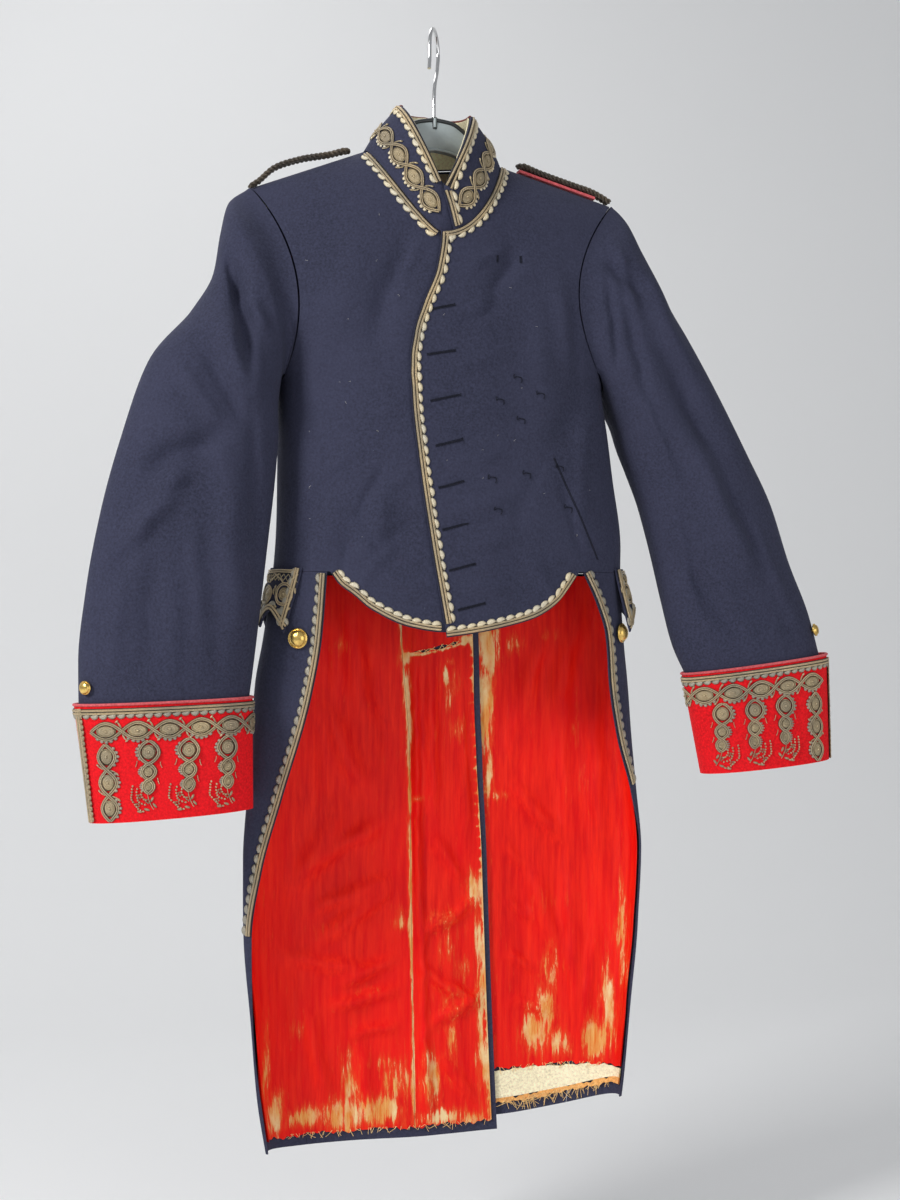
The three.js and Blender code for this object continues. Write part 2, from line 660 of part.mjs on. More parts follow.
function liningPanel({ side, near, far, low, high, columns, rows }) {
  const place = patch({ near, far, low, high });
  return wall({
    surface: bodySurface,
    place: (u, v) => {
      const p = place(u, v);
      const x = bodySurface(p.a, p.b).x;
      const sideBend = Math.exp(-(((Math.abs(p.a) - Math.PI / 2) / 0.65) ** 2));
      const lap = side === 'right' ? ventLift(x, p.b) : 0;
      return { ...p, lift: lap - CLOTH - LINING_CLEARANCE - 1.8 * sideBend };
    },
    columns,
    rows,
    thickness: LINING,
  });
}

function liningPanels() {
  const high = () => WAIST - 3;
  const sideEdge = (side) => (z) => {
    const { sign } = SIDES[side];
    return angleAt(skirtEdge[side](z).x, z) + (sign * EDGE_SHOWN) / 70;
  };
  const seamAngle = (offset) => (z) => angleBeyond(liningSeamX(z) + offset, z);
  const ventSide = (z) => angleBeyond(ventEdge(z).x - EDGE_SHOWN, z);
  const rightLow = (x) => hem.right(x).z + HEM_SHOWN;
  const leftLow = (x) => hem.left(x).z + HEM_SHOWN;
  const centreSide = (z) => angleAt(section(z).centre + EDGE_SHOWN, z, true);
  const left = { side: 'left', near: sideEdge('left'), far: centreSide };
  return {
    lining_right_side: liningPanel({
      side: 'right', near: sideEdge('right'), far: seamAngle(-SEAM), low: rightLow, high,
      columns: 8, rows: 13,
    }),
    lining_right_back: liningPanel({
      side: 'right', near: seamAngle(0), far: ventSide, low: rightLow, high, columns: 4, rows: 13,
    }),
    lining_left: liningPanel({ ...left, low: (x) => TEAR(x).z, high, columns: 9, rows: 13 }),
    interlining_left: liningPanel({
      ...left, low: (x) => leftLow(x) + FRAYED_STRIP, high: (x) => TEAR(x).z - SEAM, columns: 9, rows: 1,
    }),
    frayed_hem_left: liningPanel({
      ...left, low: leftLow, high: (x) => leftLow(x) + FRAYED_STRIP - SEAM, columns: 9, rows: 1,
    }),
  };
}

function neckLining() {
  const place = patch({
    near: (z) => angleAt(44, z, true),
    far: (z) => angleAt(-44, z, true) + 2 * Math.PI,
    low: () => -240,
    high: (x) => topEdge(x < NECK_FRONT.x ? 'right' : 'left', x, true) - 6,
  });
  return wall({
    surface: bodySurface,
    place: (u, v) => ({ ...place(u, v), lift: -CLOTH - 1.8 }),
    columns: 6,
    rows: 6,
    thickness: LINING,
    levels: evenLevels(6, 1.35),
  });
}

const ARMHOLE_GAP = 1.9;

function sleeveSurface(side) {
  const rings = smooth(SLEEVES[side], 'ring');
  const { sign } = SIDES[side];
  return (angle, along) => {
    const row = rings(along * 10);
    const cosine = power(Math.cos(angle), 0.92);
    const sine = power(Math.sin(angle), 0.92);
    const front = sine >= 0;
    const bend = row.bend * (front ? 1 : BACK_CUT_IN) * (1 - cosine * cosine);
    const x = mix(row.inX, row.outX, (cosine + 1) / 2) - sign * bend + sign * ARMHOLE_GAP;
    const z = mix(row.inZ, row.outZ, (cosine + 1) / 2);
    const fold = front ? foldHeight(SLEEVE_FOLDS[side], x, z) * ease(along * 8) * ease((1 - along) * 5) : 0;
    const sleeveY = row.y - sine * row.depth - fold * ease(sine * 2.5);
    // past the armhole the two halves close over the shoulder along their top seam
    const apart = cosine > 0 ? mix(1, ease(Math.abs(sine) * 5), ease(along * 60)) : 1;
    const bodyY = bodySurface(angleAt(x - sign * ARMHOLE_GAP, z, !front), z).y * apart
      - (front ? 0.2 : -0.2) * (1 - apart);
    return new THREE.Vector3(x, mix(bodyY, sleeveY, ease(along / 0.16)), z);
  };
}

const sleeveFacing = (side) => (side === 'right' ? -1 : 1);

function sleevePanel(side, face) {
  const seamAngle = 0.006;
  const from = face === 'top' ? seamAngle : Math.PI + seamAngle;
  return wall({
    surface: sleeveSurface(side),
    place: (u, v) => ({ a: from + u * (Math.PI - 2 * seamAngle), b: 1 - v }),
    columns: 8,
    rows: 16,
    thickness: CLOTH,
    levels: evenLevels(16, 1.25),
    facing: sleeveFacing(side),
  });
}

function cuffSurface(side) {
  const rings = smooth(CUFFS[side], 'at');
  return (angle, at) => {
    const row = rings(at);
    const cosine = power(Math.cos(angle), 0.92);
    const sine = power(Math.sin(angle), 0.92);
    const x = mix(row.inX, row.outX, (cosine + 1) / 2);
    const z = mix(row.inZ, row.outZ, (cosine + 1) / 2);
    return new THREE.Vector3(x, row.y - sine * row.depth, z);
  };
}

function cuffWall(side) {
  return wall({
    surface: cuffSurface(side),
    place: (u, v) => ({ a: u * 2 * Math.PI + 0.001, b: 1 - v }),
    columns: 24,
    rows: 2,
    thickness: CUFF_CLOTH,
    facing: sleeveFacing(side),
    closedAcross: true,
  });
}

// The collar: the angle goes round the neck from the front, through the wearer's right, the
// back and the left. The second parameter goes up from the neck seam to the top edge.
const COLLAR = {
  centreX: -3, topHalf: 38, topY: -15, topDepth: 47,
  frontTopZ: -177, backTopZ: -84, peakZ: { right: -85, left: -92 },
};
const COLLAR_END = { low: radians(350), high: radians(362) };

function collarSurface(angle, up) {
  const sine = Math.sin(angle);
  const cosine = Math.cos(angle);
  const side = sine >= 0 ? 'right' : 'left';
  const s = SIDES[side];
  const round = Math.abs(sine);
  const front = cosine >= 0;
  const x0 = front ? mix(NECK_FRONT.x, s.sign * s.neckX, round) : s.sign * s.neckX * round;
  const z0 = topEdge(side, x0, !front);
  const y0 = bodySurface(angleAt(x0, z0 - 0.5, !front), z0 - 0.5).y;
  const z1 = mix(front ? COLLAR.frontTopZ : COLLAR.backTopZ, COLLAR.peakZ[side], round);
  const x1 = COLLAR.centreX + s.sign * COLLAR.topHalf * round;
  const y1 = COLLAR.topY - COLLAR.topDepth * cosine;
  const swell = 3 * Math.sin(Math.PI * clamp(up));
  return new THREE.Vector3(
    mix(x0, x1, up) + s.sign * swell * round,
    mix(y0, y1, up) - swell * cosine,
    mix(z0, z1, up),
  );
}

// The left half's front end lies out over the right half, as the left front does below it
function collarLift(angle) {
  if (angle < 1.5 * Math.PI) return 0;
  return lapLift(mix(NECK_FRONT.x, SIDES.left.neckX, Math.abs(Math.sin(Math.min(angle, 2 * Math.PI)))));
}

function collarPart({ from, to, low = 0.05, lift = 0, thickness, columns, rows }) {
  return wall({
    surface: collarSurface,
    place: (u, v) => {
      const angle = mix(from, to(v), u);
      return { a: angle, b: mix(low, 1, v), lift: collarLift(angle) - lift };
    },
    columns,
    rows,
    thickness,
    facing: -1,
  });
}

const collarEnd = (up) => mix(COLLAR_END.low, COLLAR_END.high, up);

function flapSurface(side) {
  const { sign } = SIDES[side];
  const { frontX, stand } = FLAPS[side];
  const edge = smooth(FLAP_EDGE, 'across');
  const start = angleAt(frontX, WAIST);
  const roundness = 150;      // mean radius of the side that the flap wraps
  return (across, down) => {
    const slant = FLAP_SLANT * down;
    const along = slant + across * (FLAP_LENGTH - 2 * slant);
    const z = WAIST + FLAP_RISE - down * (edge(across).drop + FLAP_RISE);
    const lift = SEAM + 0.3 + FLAP_CLOTH + down * stand;
    return liftedPoint(bodySurface, start + (sign * along) / roundness, z, lift);
  };
}

const flapFacing = (side) => (side === 'left' ? -1 : 1);

function flapWall(side) {
  return wall({
    surface: flapSurface(side),
    place: (u, v) => ({ a: u, b: 1 - v }),
    columns: 16,
    rows: 3,
    thickness: FLAP_CLOTH,
    facing: flapFacing(side),
  });
}

// A domed button on a point of the cloth, on its short shank
function button(diameter, point, normal) {
  const radius = diameter / 2;
  const profile = [[0, 0], [radius * 0.3, 0], [radius * 0.3, 1.5], [radius * 0.86, 1.7], [radius, 3]];
  for (let step = 1; step < 3; step += 1) {
    const turn = (step / 3) * (Math.PI / 2);
    profile.push([radius * Math.cos(turn), 3 + radius * 0.55 * Math.sin(turn)]);
  }
  profile.push([0, 3 + radius * 0.55]);
  const geometry = new THREE.LatheGeometry(profile.map(([r, h]) => new THREE.Vector2(r, h)), 12);
  const turn = new THREE.Quaternion().setFromUnitVectors(new THREE.Vector3(0, 1, 0), normal);
  geometry.applyQuaternion(turn);
  geometry.translate(point.x, point.y, point.z);
  return geometry;
}

// A tube along a smooth path
function tube(points, diameter, sides, steps) {
  const bends = points.map(([x, y, z]) => new THREE.Vector3(x, y, z));
  const path = new THREE.CatmullRomCurve3(bends, false, 'centripetal');
  const shape = new THREE.Shape();
  for (let side = 0; side < sides; side += 1) {
    const turn = ((side + 0.5) / sides) * 2 * Math.PI;
    const x = (diameter / 2) * Math.cos(turn);
    const y = (diameter / 2) * Math.sin(turn);
    if (side === 0) shape.moveTo(x, y);
    else shape.lineTo(x, y);
  }
  shape.closePath();
  return new THREE.ExtrudeGeometry(shape, { steps, extrudePath: path, bevelEnabled: false });
}

// The hook's wire: up from the hanger's crown, round the arch and down to the tip. Its plane is
// turned a little from the middle plane of the coat.
function hookGeometry() {
  const radius = HOOK_INSIDE / 2 + WIRE / 2;
  const turn = radians(24);
  const arch = [];
  for (let step = 0; step <= 8; step += 1) {
    const angle = (step / 8) * Math.PI;
    arch.push([radius * Math.cos(angle), radius * Math.sin(angle) - HOOK_INSIDE / 2]);
  }
  const route = [
    [0, HANGER[0].top - 0.7], [0, -72], [4, -56], [16, -38], ...arch,
    [-radius - 0.5, -34], [-radius - 3, -45.5],
  ];
  const points = route.map(([out, z]) => [out * Math.sin(turn), out * Math.cos(turn), z]);
  return tube(points, WIRE, 8, 26);
}

function hangerGeometry() {
  const rows = smooth(HANGER, 'from');
  const rings = [];
  const stations = [-184, -165, -130, -100, -84, -62, -40, -20, 0, 20, 40, 62, 84, 100, 130, 165, 184];
  for (const x of stations) {
    const row = rows(Math.abs(x));
    const ring = [];
    for (let corner = 0; corner < 8; corner += 1) {
      const turn = (corner / 8) * 2 * Math.PI + Math.PI / 8;
      const y = HANGER_HALF_THICK * power(Math.cos(turn), 0.8);
      const z = row.top - row.tall / 2 + (row.tall / 2) * power(Math.sin(turn), 0.8);
      ring.push(new THREE.Vector3(x, y, z));
    }
    rings.push(ring);
  }
  return cappedRings(rings);
}

function cappedRings(rings) {
  const count = rings[0].length;
  const positions = rings.flat().flatMap((p) => [p.x, p.y, p.z]);
  const index = [];
  for (let ring = 0; ring < rings.length - 1; ring += 1) {
    for (let i = 0; i < count; i += 1) {
      const a = ring * count + i;
      const b = ring * count + ((i + 1) % count);
      index.push(a, b, b + count, a, b + count, a + count);
    }
  }
  const last = (rings.length - 1) * count;
  for (let i = 1; i < count - 1; i += 1) {
    index.push(0, i + 1, i);
    index.push(last, last + i, last + i + 1);
  }
  const geometry = new THREE.BufferGeometry();
  geometry.setAttribute('position', new THREE.Float32BufferAttribute(positions, 3));
  geometry.setIndex(index);
  if (enclosedVolume(geometry) < 0) {
    for (let i = 0; i < index.length; i += 3) [index[i], index[i + 1]] = [index[i + 1], index[i]];
    geometry.setIndex(index);
  }
  geometry.computeVertexNormals();
  return geometry;
}

// The coat
const coat = new THREE.Group();

function add(name, geometry, material) {
  const mesh = new THREE.Mesh(geometry, material.clone());
  mesh.name = name;
  coat.add(mesh);
  return mesh;
}

// Points of an edge table on the body, from one key to another
function edgePath(count, angleAndHeight) {
  return Array.from({ length: count + 1 }, (_, i) => angleAndHeight(i / count));
}

function bodyBraids() {
  const onLap = (a, b) => lapLift(bodySurface(a, b).x);
  const leftTip = LEFT_WAIST_EDGE[0];
  const neckPath = (side, back, from, to) => edgePath(14, (t) => {
    const x = mix(from, to, t);
    const z = topEdge(side, x, back) - 0.8;
    return [angleAt(x, z, back), z];
  });
  const waistPath = (row, from, to) => edgePath(14, (t) => {
    const x = mix(from, to, t);
    return [angleAt(x, row(x).z + 0.8), row(x).z + 0.8];
  });
  const skirtPath = (side, low) => edgePath(16, (t) => {
    const z = mix(WAIST - 2, low, t);
    return [angleAt(skirtEdge[side](z).x + SIDES[side].sign * 0.8, z), z];
  });
  return {
    braid_front_left: braid({
      surface: bodySurface,
      lift: onLap,
      path: edgePath(20, (t) => {
        const z = mix(NECK_FRONT.z - 2, leftTip.z + 14, t);
        return [angleAt(leftEdge(z).x + 0.8, z), z];
      }),
    }),
    braid_waist_left: braid({
      surface: bodySurface, lift: onLap, path: waistPath(leftWaist, leftTip.x + 1, NOTCH.left - 4),
    }),
    braid_waist_right: braid({
      surface: bodySurface, leftward: -1, path: waistPath(rightWaist, -14, NOTCH.right + 2),
    }),
    braid_skirt_left: braid({ surface: bodySurface, path: skirtPath('left', -800) }),
    braid_skirt_right: braid({ surface: bodySurface, leftward: -1, path: skirtPath('right', -948) }),
    braid_neck_right: braid({ surface: bodySurface, path: neckPath('right', false, NECK_FRONT.x - 9, -73) }),
    braid_neck_left: braid({
      surface: bodySurface, lift: onLap, leftward: -1, path: neckPath('left', false, NECK_FRONT.x + 14, 68),
    }),
  };
}

function collarBraid(from, to, lift) {
  return braid({
    surface: collarSurface,
    path: edgePath(16, (t) => [mix(from, to, t), 0.985]),
    lift,
    facing: -1,
  });
}

function cuffBraid(side) {
  return braid({
    surface: cuffSurface(side),
    path: edgePath(24, (t) => [t * 2 * Math.PI, 0.02]),
    lift: () => 0.4,
    facing: sleeveFacing(side),
    leftward: side === 'right' ? 1 : -1,
    closed: true,
  });
}

function flapBraids(side) {
  const shared = {
    surface: flapSurface(side), lift: () => 0.5, facing: flapFacing(side),
    leftward: side === 'right' ? -1 : 1,
  };
  return {
    [`braid_flap_front_${side}`]: braid({
      ...shared, lift: () => 0.25, path: edgePath(4, (t) => [0.008, mix(0.02, 0.66, t)]),
    }),
    [`braid_flap_low_${side}`]: braid({ ...shared, path: edgePath(16, (t) => [mix(0.09, 0.91, t), 0.985]) }),
  };
}

function flapButton(side) {
  const { x, z, stand } = FLAP_BUTTONS[side];
  const angle = angleAt(x, z);
  const base = liftedPoint(bodySurface, angle, z, stand);
  const normal = liftedPoint(bodySurface, angle, z, stand + 1).sub(base);
  return button(FLAP_BUTTON, base, normal);
}

function cuffButton(side) {
  const { angle, along } = CUFF_BUTTONS[side];
  const surface = sleeveSurface(side);
  const facing = sleeveFacing(side);
  const base = liftedPoint(surface, radians(angle), along, SEAM * facing);
  const normal = liftedPoint(surface, radians(angle), along, (SEAM + 1) * facing).sub(base);
  return button(CUFF_BUTTON, base, normal);
}

function shoulderCord(side) {
  const run = CORDS[side];
  const half = CORD_SPREAD / 2;
  const { sign } = SIDES[side];
  const [loopX, loopZ] = run[0];
  const there = [...run].reverse().slice(0, -1).map(([x, z]) => [x, -half, z]);
  const back = run.slice(1).map(([x, z]) => [x, half, z]);
  const loop = [[loopX + sign * 4, -half, loopZ], [loopX, 0, loopZ], [loopX + sign * 4, half, loopZ]];
  return tube([...there, ...loop, ...back], CORD, 6, 24);
}

function shoulderStrap() {
  const stations = [0, 0.25, 0.5, 0.75, 1];
  const rings = stations.map((t) => {
    const x = mix(STRAP.fromX, STRAP.toX, t);
    const low = shoulderLine(x) + SEAM;
    const corners = [[-0.5, 0], [0.5, 0], [0.5, 1], [-0.5, 1]];
    return corners.map(([y, up]) => new THREE.Vector3(x, y * STRAP.wide, low + up * STRAP.thick));
  });
  return cappedRings(rings);
}

for (const side of ['right', 'left']) {
  add(`front_${side}`, frontPanel(side), MATERIALS.navy);
  add(`back_${side}`, backPanel(side), MATERIALS.navy);
  add(`skirt_${side}`, skirtPanel(side), MATERIALS.navy);
  add(`top_sleeve_${side}`, sleevePanel(side, 'top'), MATERIALS.navy);
  add(`under_sleeve_${side}`, sleevePanel(side, 'under'), MATERIALS.navy);
  add(`cuff_${side}`, cuffWall(side), MATERIALS.cuffRed);
  add(`braid_cuff_${side}`, cuffBraid(side), MATERIALS.gold);
  add(`flap_${side}`, flapWall(side), MATERIALS.navy);
  add(`flap_button_${side}`, flapButton(side), MATERIALS.brass);
  add(`cuff_button_${side}`, cuffButton(side), MATERIALS.brass);
  add(`shoulder_cord_${side}`, shoulderCord(side), MATERIALS.cord);
  for (const [name, geometry] of Object.entries(flapBraids(side))) add(name, geometry, MATERIALS.gold);
}
for (const [name, geometry] of Object.entries(bodyBraids())) add(name, geometry, MATERIALS.gold);

const COLLAR_BACK = Math.PI;
const collarColumns = { columns: 16, rows: 3, thickness: CLOTH };
add(
  'collar_right', collarPart({ from: radians(-13), to: () => COLLAR_BACK - 0.004, ...collarColumns }),
  MATERIALS.navy,
);
add(
  'collar_left', collarPart({ from: COLLAR_BACK + 0.004, to: collarEnd, ...collarColumns }),
  MATERIALS.navy,
);
add('collar_lining', collarPart({
  from: radians(-8), to: () => radians(338), low: 0.07, lift: CLOTH + 1.9, thickness: LINING,
  columns: 22, rows: 3,
}), MATERIALS.cream);
add('braid_collar_right', collarBraid(radians(6), COLLAR_BACK - 0.03, () => 0), MATERIALS.gold);
add('braid_collar_left', collarBraid(COLLAR_BACK + 0.03, radians(357), collarLift), MATERIALS.gold);

const linings = liningPanels();
for (const name of ['lining_right_side', 'lining_right_back', 'lining_left']) {
  add(name, linings[name], MATERIALS.red);
}
add('interlining_left', linings.interlining_left, MATERIALS.cream);
add('frayed_hem_left', linings.frayed_hem_left, MATERIALS.frayed);
add('neck_lining', neckLining(), MATERIALS.buff);
add('shoulder_strap_left', shoulderStrap(), MATERIALS.red);
add('hanger_body', hangerGeometry(), MATERIALS.plastic);
add('hanger_hook', hookGeometry(), MATERIALS.chrome);

export default coat;
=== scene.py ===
# A tailcoat of navy wool with gold braid, red cuffs and worn red tail linings, on a plain hanger.
# Sizes are in millimetres in the frame of the solids, and become metres as each mesh is made.
import json
import math
import bpy
import numpy as np
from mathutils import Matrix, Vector

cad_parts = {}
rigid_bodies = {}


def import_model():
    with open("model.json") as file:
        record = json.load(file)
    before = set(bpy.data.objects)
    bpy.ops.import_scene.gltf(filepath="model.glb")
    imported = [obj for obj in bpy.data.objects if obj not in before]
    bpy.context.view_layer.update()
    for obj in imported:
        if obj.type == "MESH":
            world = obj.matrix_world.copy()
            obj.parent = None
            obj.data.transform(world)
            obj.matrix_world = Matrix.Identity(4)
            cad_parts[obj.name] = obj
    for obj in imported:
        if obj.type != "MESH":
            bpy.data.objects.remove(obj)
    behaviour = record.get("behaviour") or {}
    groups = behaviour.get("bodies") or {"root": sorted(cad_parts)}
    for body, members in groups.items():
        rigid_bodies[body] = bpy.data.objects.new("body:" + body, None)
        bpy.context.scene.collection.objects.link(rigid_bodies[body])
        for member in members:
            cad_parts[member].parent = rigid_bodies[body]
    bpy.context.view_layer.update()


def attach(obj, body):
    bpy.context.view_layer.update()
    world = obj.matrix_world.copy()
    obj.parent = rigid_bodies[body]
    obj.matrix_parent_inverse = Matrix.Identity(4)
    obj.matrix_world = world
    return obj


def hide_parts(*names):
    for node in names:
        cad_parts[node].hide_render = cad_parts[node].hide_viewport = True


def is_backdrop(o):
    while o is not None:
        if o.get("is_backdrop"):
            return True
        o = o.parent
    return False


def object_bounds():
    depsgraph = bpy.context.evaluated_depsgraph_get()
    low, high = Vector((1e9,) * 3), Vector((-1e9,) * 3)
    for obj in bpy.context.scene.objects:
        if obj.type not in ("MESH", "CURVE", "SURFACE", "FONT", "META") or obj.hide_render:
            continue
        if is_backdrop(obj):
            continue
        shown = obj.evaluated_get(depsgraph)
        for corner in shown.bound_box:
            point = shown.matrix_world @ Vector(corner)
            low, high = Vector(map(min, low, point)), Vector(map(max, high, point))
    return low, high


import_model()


# The photographer's view: a pale floor and backdrop, seen from the front only, soft light, and a
# level camera two metres away that looks at the coat from a little to its right.
VIEW_TURN = math.radians(13.0)
VIEW_DISTANCE = 2.0
VIEW_HEIGHT = 1.272
VIEW_MIDDLE_X, VIEW_MIDDLE_Z = 0.017, -0.601
FLOOR = -1.33
PAPER_BEND_Y, PAPER_BEND = 1.3, 0.9


def fed(tree, node, inputs):
    for key, value in inputs.items():
        if isinstance(value, bpy.types.NodeSocket):
            tree.links.new(value, node.inputs[key])
        else:
            node.inputs[key].default_value = value
    return node


def add_node(tree, kind, inputs=None, **settings):
    node = tree.nodes.new(kind)
    for key, value in settings.items():
        setattr(node, key, value)
    return fed(tree, node, inputs or {})


def new_material(name, looks):
    material = bpy.data.materials.new(name)
    material.use_nodes = True
    tree = material.node_tree
    return material, tree, fed(tree, tree.nodes["Principled BSDF"], looks)


def new_object(name, data):
    piece = bpy.data.objects.new(name, data)
    bpy.context.scene.collection.objects.link(piece)
    return piece


def pale_surface(name, grey):
    material, tree, shader = new_material(name, {"Roughness": 0.9})
    place = add_node(tree, "ShaderNodeTexCoord").outputs["Object"]
    noise = add_node(tree, "ShaderNodeTexNoise", {"Scale": 3.0, "Vector": place})
    ramp = add_node(tree, "ShaderNodeValToRGB", {"Fac": noise.outputs["Fac"]})
    for element, level in zip(ramp.color_ramp.elements, (grey, grey * 1.01)):
        element.color = (level, level, level, 1)
    fed(tree, shader, {"Base Color": ramp.outputs["Color"]})
    one_sided = add_node(tree, "ShaderNodeMixShader", {
        0: add_node(tree, "ShaderNodeNewGeometry").outputs["Backfacing"], 1: shader.outputs["BSDF"],
        2: add_node(tree, "ShaderNodeBsdfTransparent").outputs["BSDF"],
    })
    fed(tree, tree.nodes["Material Output"], {"Surface": one_sided.outputs["Shader"]})
    return material


def backdrop():
    rows = [(-3.0, FLOOR)]
    for step in range(9):
        turn = step / 8 * math.pi / 2
        rows.append((PAPER_BEND_Y + PAPER_BEND * math.sin(turn),
                     FLOOR + PAPER_BEND - PAPER_BEND * math.cos(turn)))
    rows.append((PAPER_BEND_Y + PAPER_BEND, 4.0))
    points, faces = [], []
    for y, z in rows:
        points += [(-4.0, y, z), (4.0, y, z)]
    for i in range(len(rows) - 1):
        faces.append((2 * i, 2 * i + 1, 2 * i + 3, 2 * i + 2))
    mesh = bpy.data.meshes.new("floor_and_backdrop")
    mesh.from_pydata(points, [], faces)
    mesh.polygons.foreach_set("use_smooth", [True] * len(faces))
    mesh.materials.append(pale_surface("pale_paper", 0.86))
    new_object("floor_and_backdrop", mesh)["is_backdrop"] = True


def soft_light(name, place, aim, size, watts, tint=(1, 1, 1)):
    light = bpy.data.lights.new(name, "AREA")
    light.energy = watts
    light.size = size
    light.color = tint
    lamp = new_object(name, light)
    lamp.location = place
    lamp.rotation_euler = (Vector(aim) - Vector(place)).to_track_quat("-Z", "Y").to_euler()


backdrop()
soft_light("window_light", (-2.3, -1.3, 0.8), (0, 0, -0.6), 0.7, 58)
soft_light("room_light", (1.1, -2.7, -0.75), (0, 0, -0.7), 2.4, 27)
soft_light("rim_light", (-0.4, 1.1, 1.6), (0, 0, -0.5), 1.4, 16)
world = bpy.data.worlds.new("pale_room")
world.use_nodes = True
world.node_tree.nodes["Background"].inputs["Color"].default_value = (0.93, 0.96, 1.0, 1)
world.node_tree.nodes["Background"].inputs["Strength"].default_value = 0.36
bpy.context.scene.world = world
bpy.context.scene.view_settings.view_transform = "Standard"

view = bpy.data.cameras.new("photograph_view")
view.sensor_fit = "VERTICAL"
view.sensor_height = 36.0
view.lens = view.sensor_height * VIEW_DISTANCE / VIEW_HEIGHT
camera = new_object("photograph_view", view)
look = Vector((math.sin(VIEW_TURN), math.cos(VIEW_TURN), 0))
camera.location = Vector((VIEW_MIDDLE_X / math.cos(VIEW_TURN), 0, VIEW_MIDDLE_Z)) - look * VIEW_DISTANCE
camera.rotation_euler = look.to_track_quat("-Z", "Y").to_euler()
bpy.context.scene.camera = camera


# The two fronts of navy wool. They cut away at the waist, and the left one laps over the right
# one. The empty coat hangs flat, so its sections are shallow and its chest has soft drag lines.
CLOTH = 1.9
FOLD_DEPTH = 2.1
LAP = 3.2
SEAM = 0.4
ARMPIT = -378.0
WAIST = -572.0
NECK_FRONT_X = -7.0
NECK_FRONT_Z = -223.0
NECK_BACK_Z = -141.0
ROUND = 2.4
UNDERLAP_X = 26.0
SIDES = {
    "right": dict(sign=-1, neck_x=75.5, neck_z=-131, tip_x=194, tip_z=-175, pit_x=-165, cut=27, bow=1.3),
    "left": dict(sign=1, neck_x=70, neck_z=-139, tip_x=194, tip_z=-176, pit_x=182, cut=45, bow=2.2),
}
# height, middle, half width, front depth, back depth
SECTIONS = [
    (-80, 0, 215, 73, 54), (-250, 0, 214, 73, 54), (-310, 4, 196, 74, 55), (-345, 7, 180, 75, 55),
    (-378, 8.5, 173.5, 76, 55), (-407, 9.7, 175.7, 77, 55), (-428, 11.2, 177.3, 78, 54),
    (-471, 13.8, 180.2, 79, 51), (-536, 17.5, 185.5, 79, 47), (-572, 16, 187, 78, 46),
    (-640, 13, 194, 72, 48), (-688, 11.5, 201, 60, 50), (-750, 12, 206, 48, 52), (-806, 13, 211, 36, 53),
    (-870, 14, 216, 25, 54), (-950, 12.5, 214, 15, 55), (-1040, 12, 206, 11, 55),
    (-1119, 11.5, 199, 9, 54), (-1190, 12, 188, 8, 52),
]
# from x, z to x, z in the front view, half width, height
FRONT_CREASES = [
    (-42, -238, -76, -332, 14, -3.5), (44, -300, 72, -240, 11, -3), (-70, -500, -86, -556, 13, 3.5),
    (-118, -505, -135, -560, 14, 3), (150, -380, 120, -440, 16, -3), (-30, -236, -58, -300, 6, 1.6),
    (-92, -236, -120, -330, 18, 1.6), (-70, -470, -92, -512, 6, -1.9), (-92, -512, -74, -552, 6, -1.7),
    (-60, -545, -96, -590, 7, 1.6), (-128, -486, -140, -530, 7, -1.8), (-102, -452, -128, -476, 6, 1.1),
    (-58, -408, -92, -424, 7, 0.9), (-44, -372, -84, -362, 7, -1.0), (-46, -334, -98, -300, 9, 1.1),
    (-140, -560, -150, -585, 6, 1.4), (-44, -474, -66, -486, 5, 1.0), (-36, -520, -62, -540, 6, -1.1),
    (-26, -590, -70, -578, 8, 1.4), (-104, -540, -110, -584, 6, -1.4), (22, -262, 58, -238, 5, 1.3),
    (30, -300, 84, -262, 7, 1.4), (8, -318, 46, -306, 4.5, -1.0), (4, -366, 52, -352, 5.5, 0.9),
    (0, -412, 58, -404, 5.5, 1.0), (4, -430, 44, -434, 4.5, -1.1), (4, -462, 52, -454, 5, 1.2),
    (8, -508, 60, -498, 5.5, 1.2), (12, -548, 64, -540, 5.5, 1.2), (16, -590, 62, -588, 6, 1.2),
    (2, -478, 42, -482, 4, -0.9), (6, -524, 50, -520, 4.5, -1.0), (118, -268, 132, -344, 12, 2.0),
    (136, -300, 142, -372, 6, -1.8), (96, -300, 104, -392, 12, 1.2), (150, -420, 142, -520, 10, 1.6),
    (120, -480, 142, -548, 5, -1.2), (84, -560, 118, -600, 7, 1.5), (92, -470, 70, -520, 9, -0.9),
    (-150, -420, -146, -520, 8, 1.5), (-130, -330, -142, -420, 9, 1.4),
]
BACK_CREASES = [
    (-90, -190, -40, -320, 16, -1.8), (92, -188, 52, -310, 15, -1.9), (-130, -300, -120, -420, 12, 2.0),
    (136, -310, 128, -430, 12, 1.9), (-60, -430, -96, -520, 9, -1.8), (-20, -470, 24, -505, 8, 1.6),
    (60, -440, 102, -520, 9, -1.6), (-34, -520, 40, -552, 7, 1.4), (-90, -560, -60, -760, 14, 1.8),
    (-150, -620, -120, -840, 15, -2.0), (30, -600, 52, -820, 15, 1.7), (110, -600, 120, -800, 15, -1.8),
    (-60, -800, -96, -1080, 17, -1.9), (-150, -880, -138, -1120, 14, 1.6),
    (100, -860, 122, -1100, 16, 1.9), (160, -700, 150, -980, 13, 1.5), (20, -900, 36, -1120, 11, -1.3),
    (-110, -350, -70, -400, 9, 1.4),
]
LEFT_FRONT_EDGE = [
    (-80, -7), (-223, -7), (-262, -13), (-297, -27), (-330, -38), (-358, -41.5), (-400, -40), (-449, -35),
    (-550, -20), (-639, -3),
]
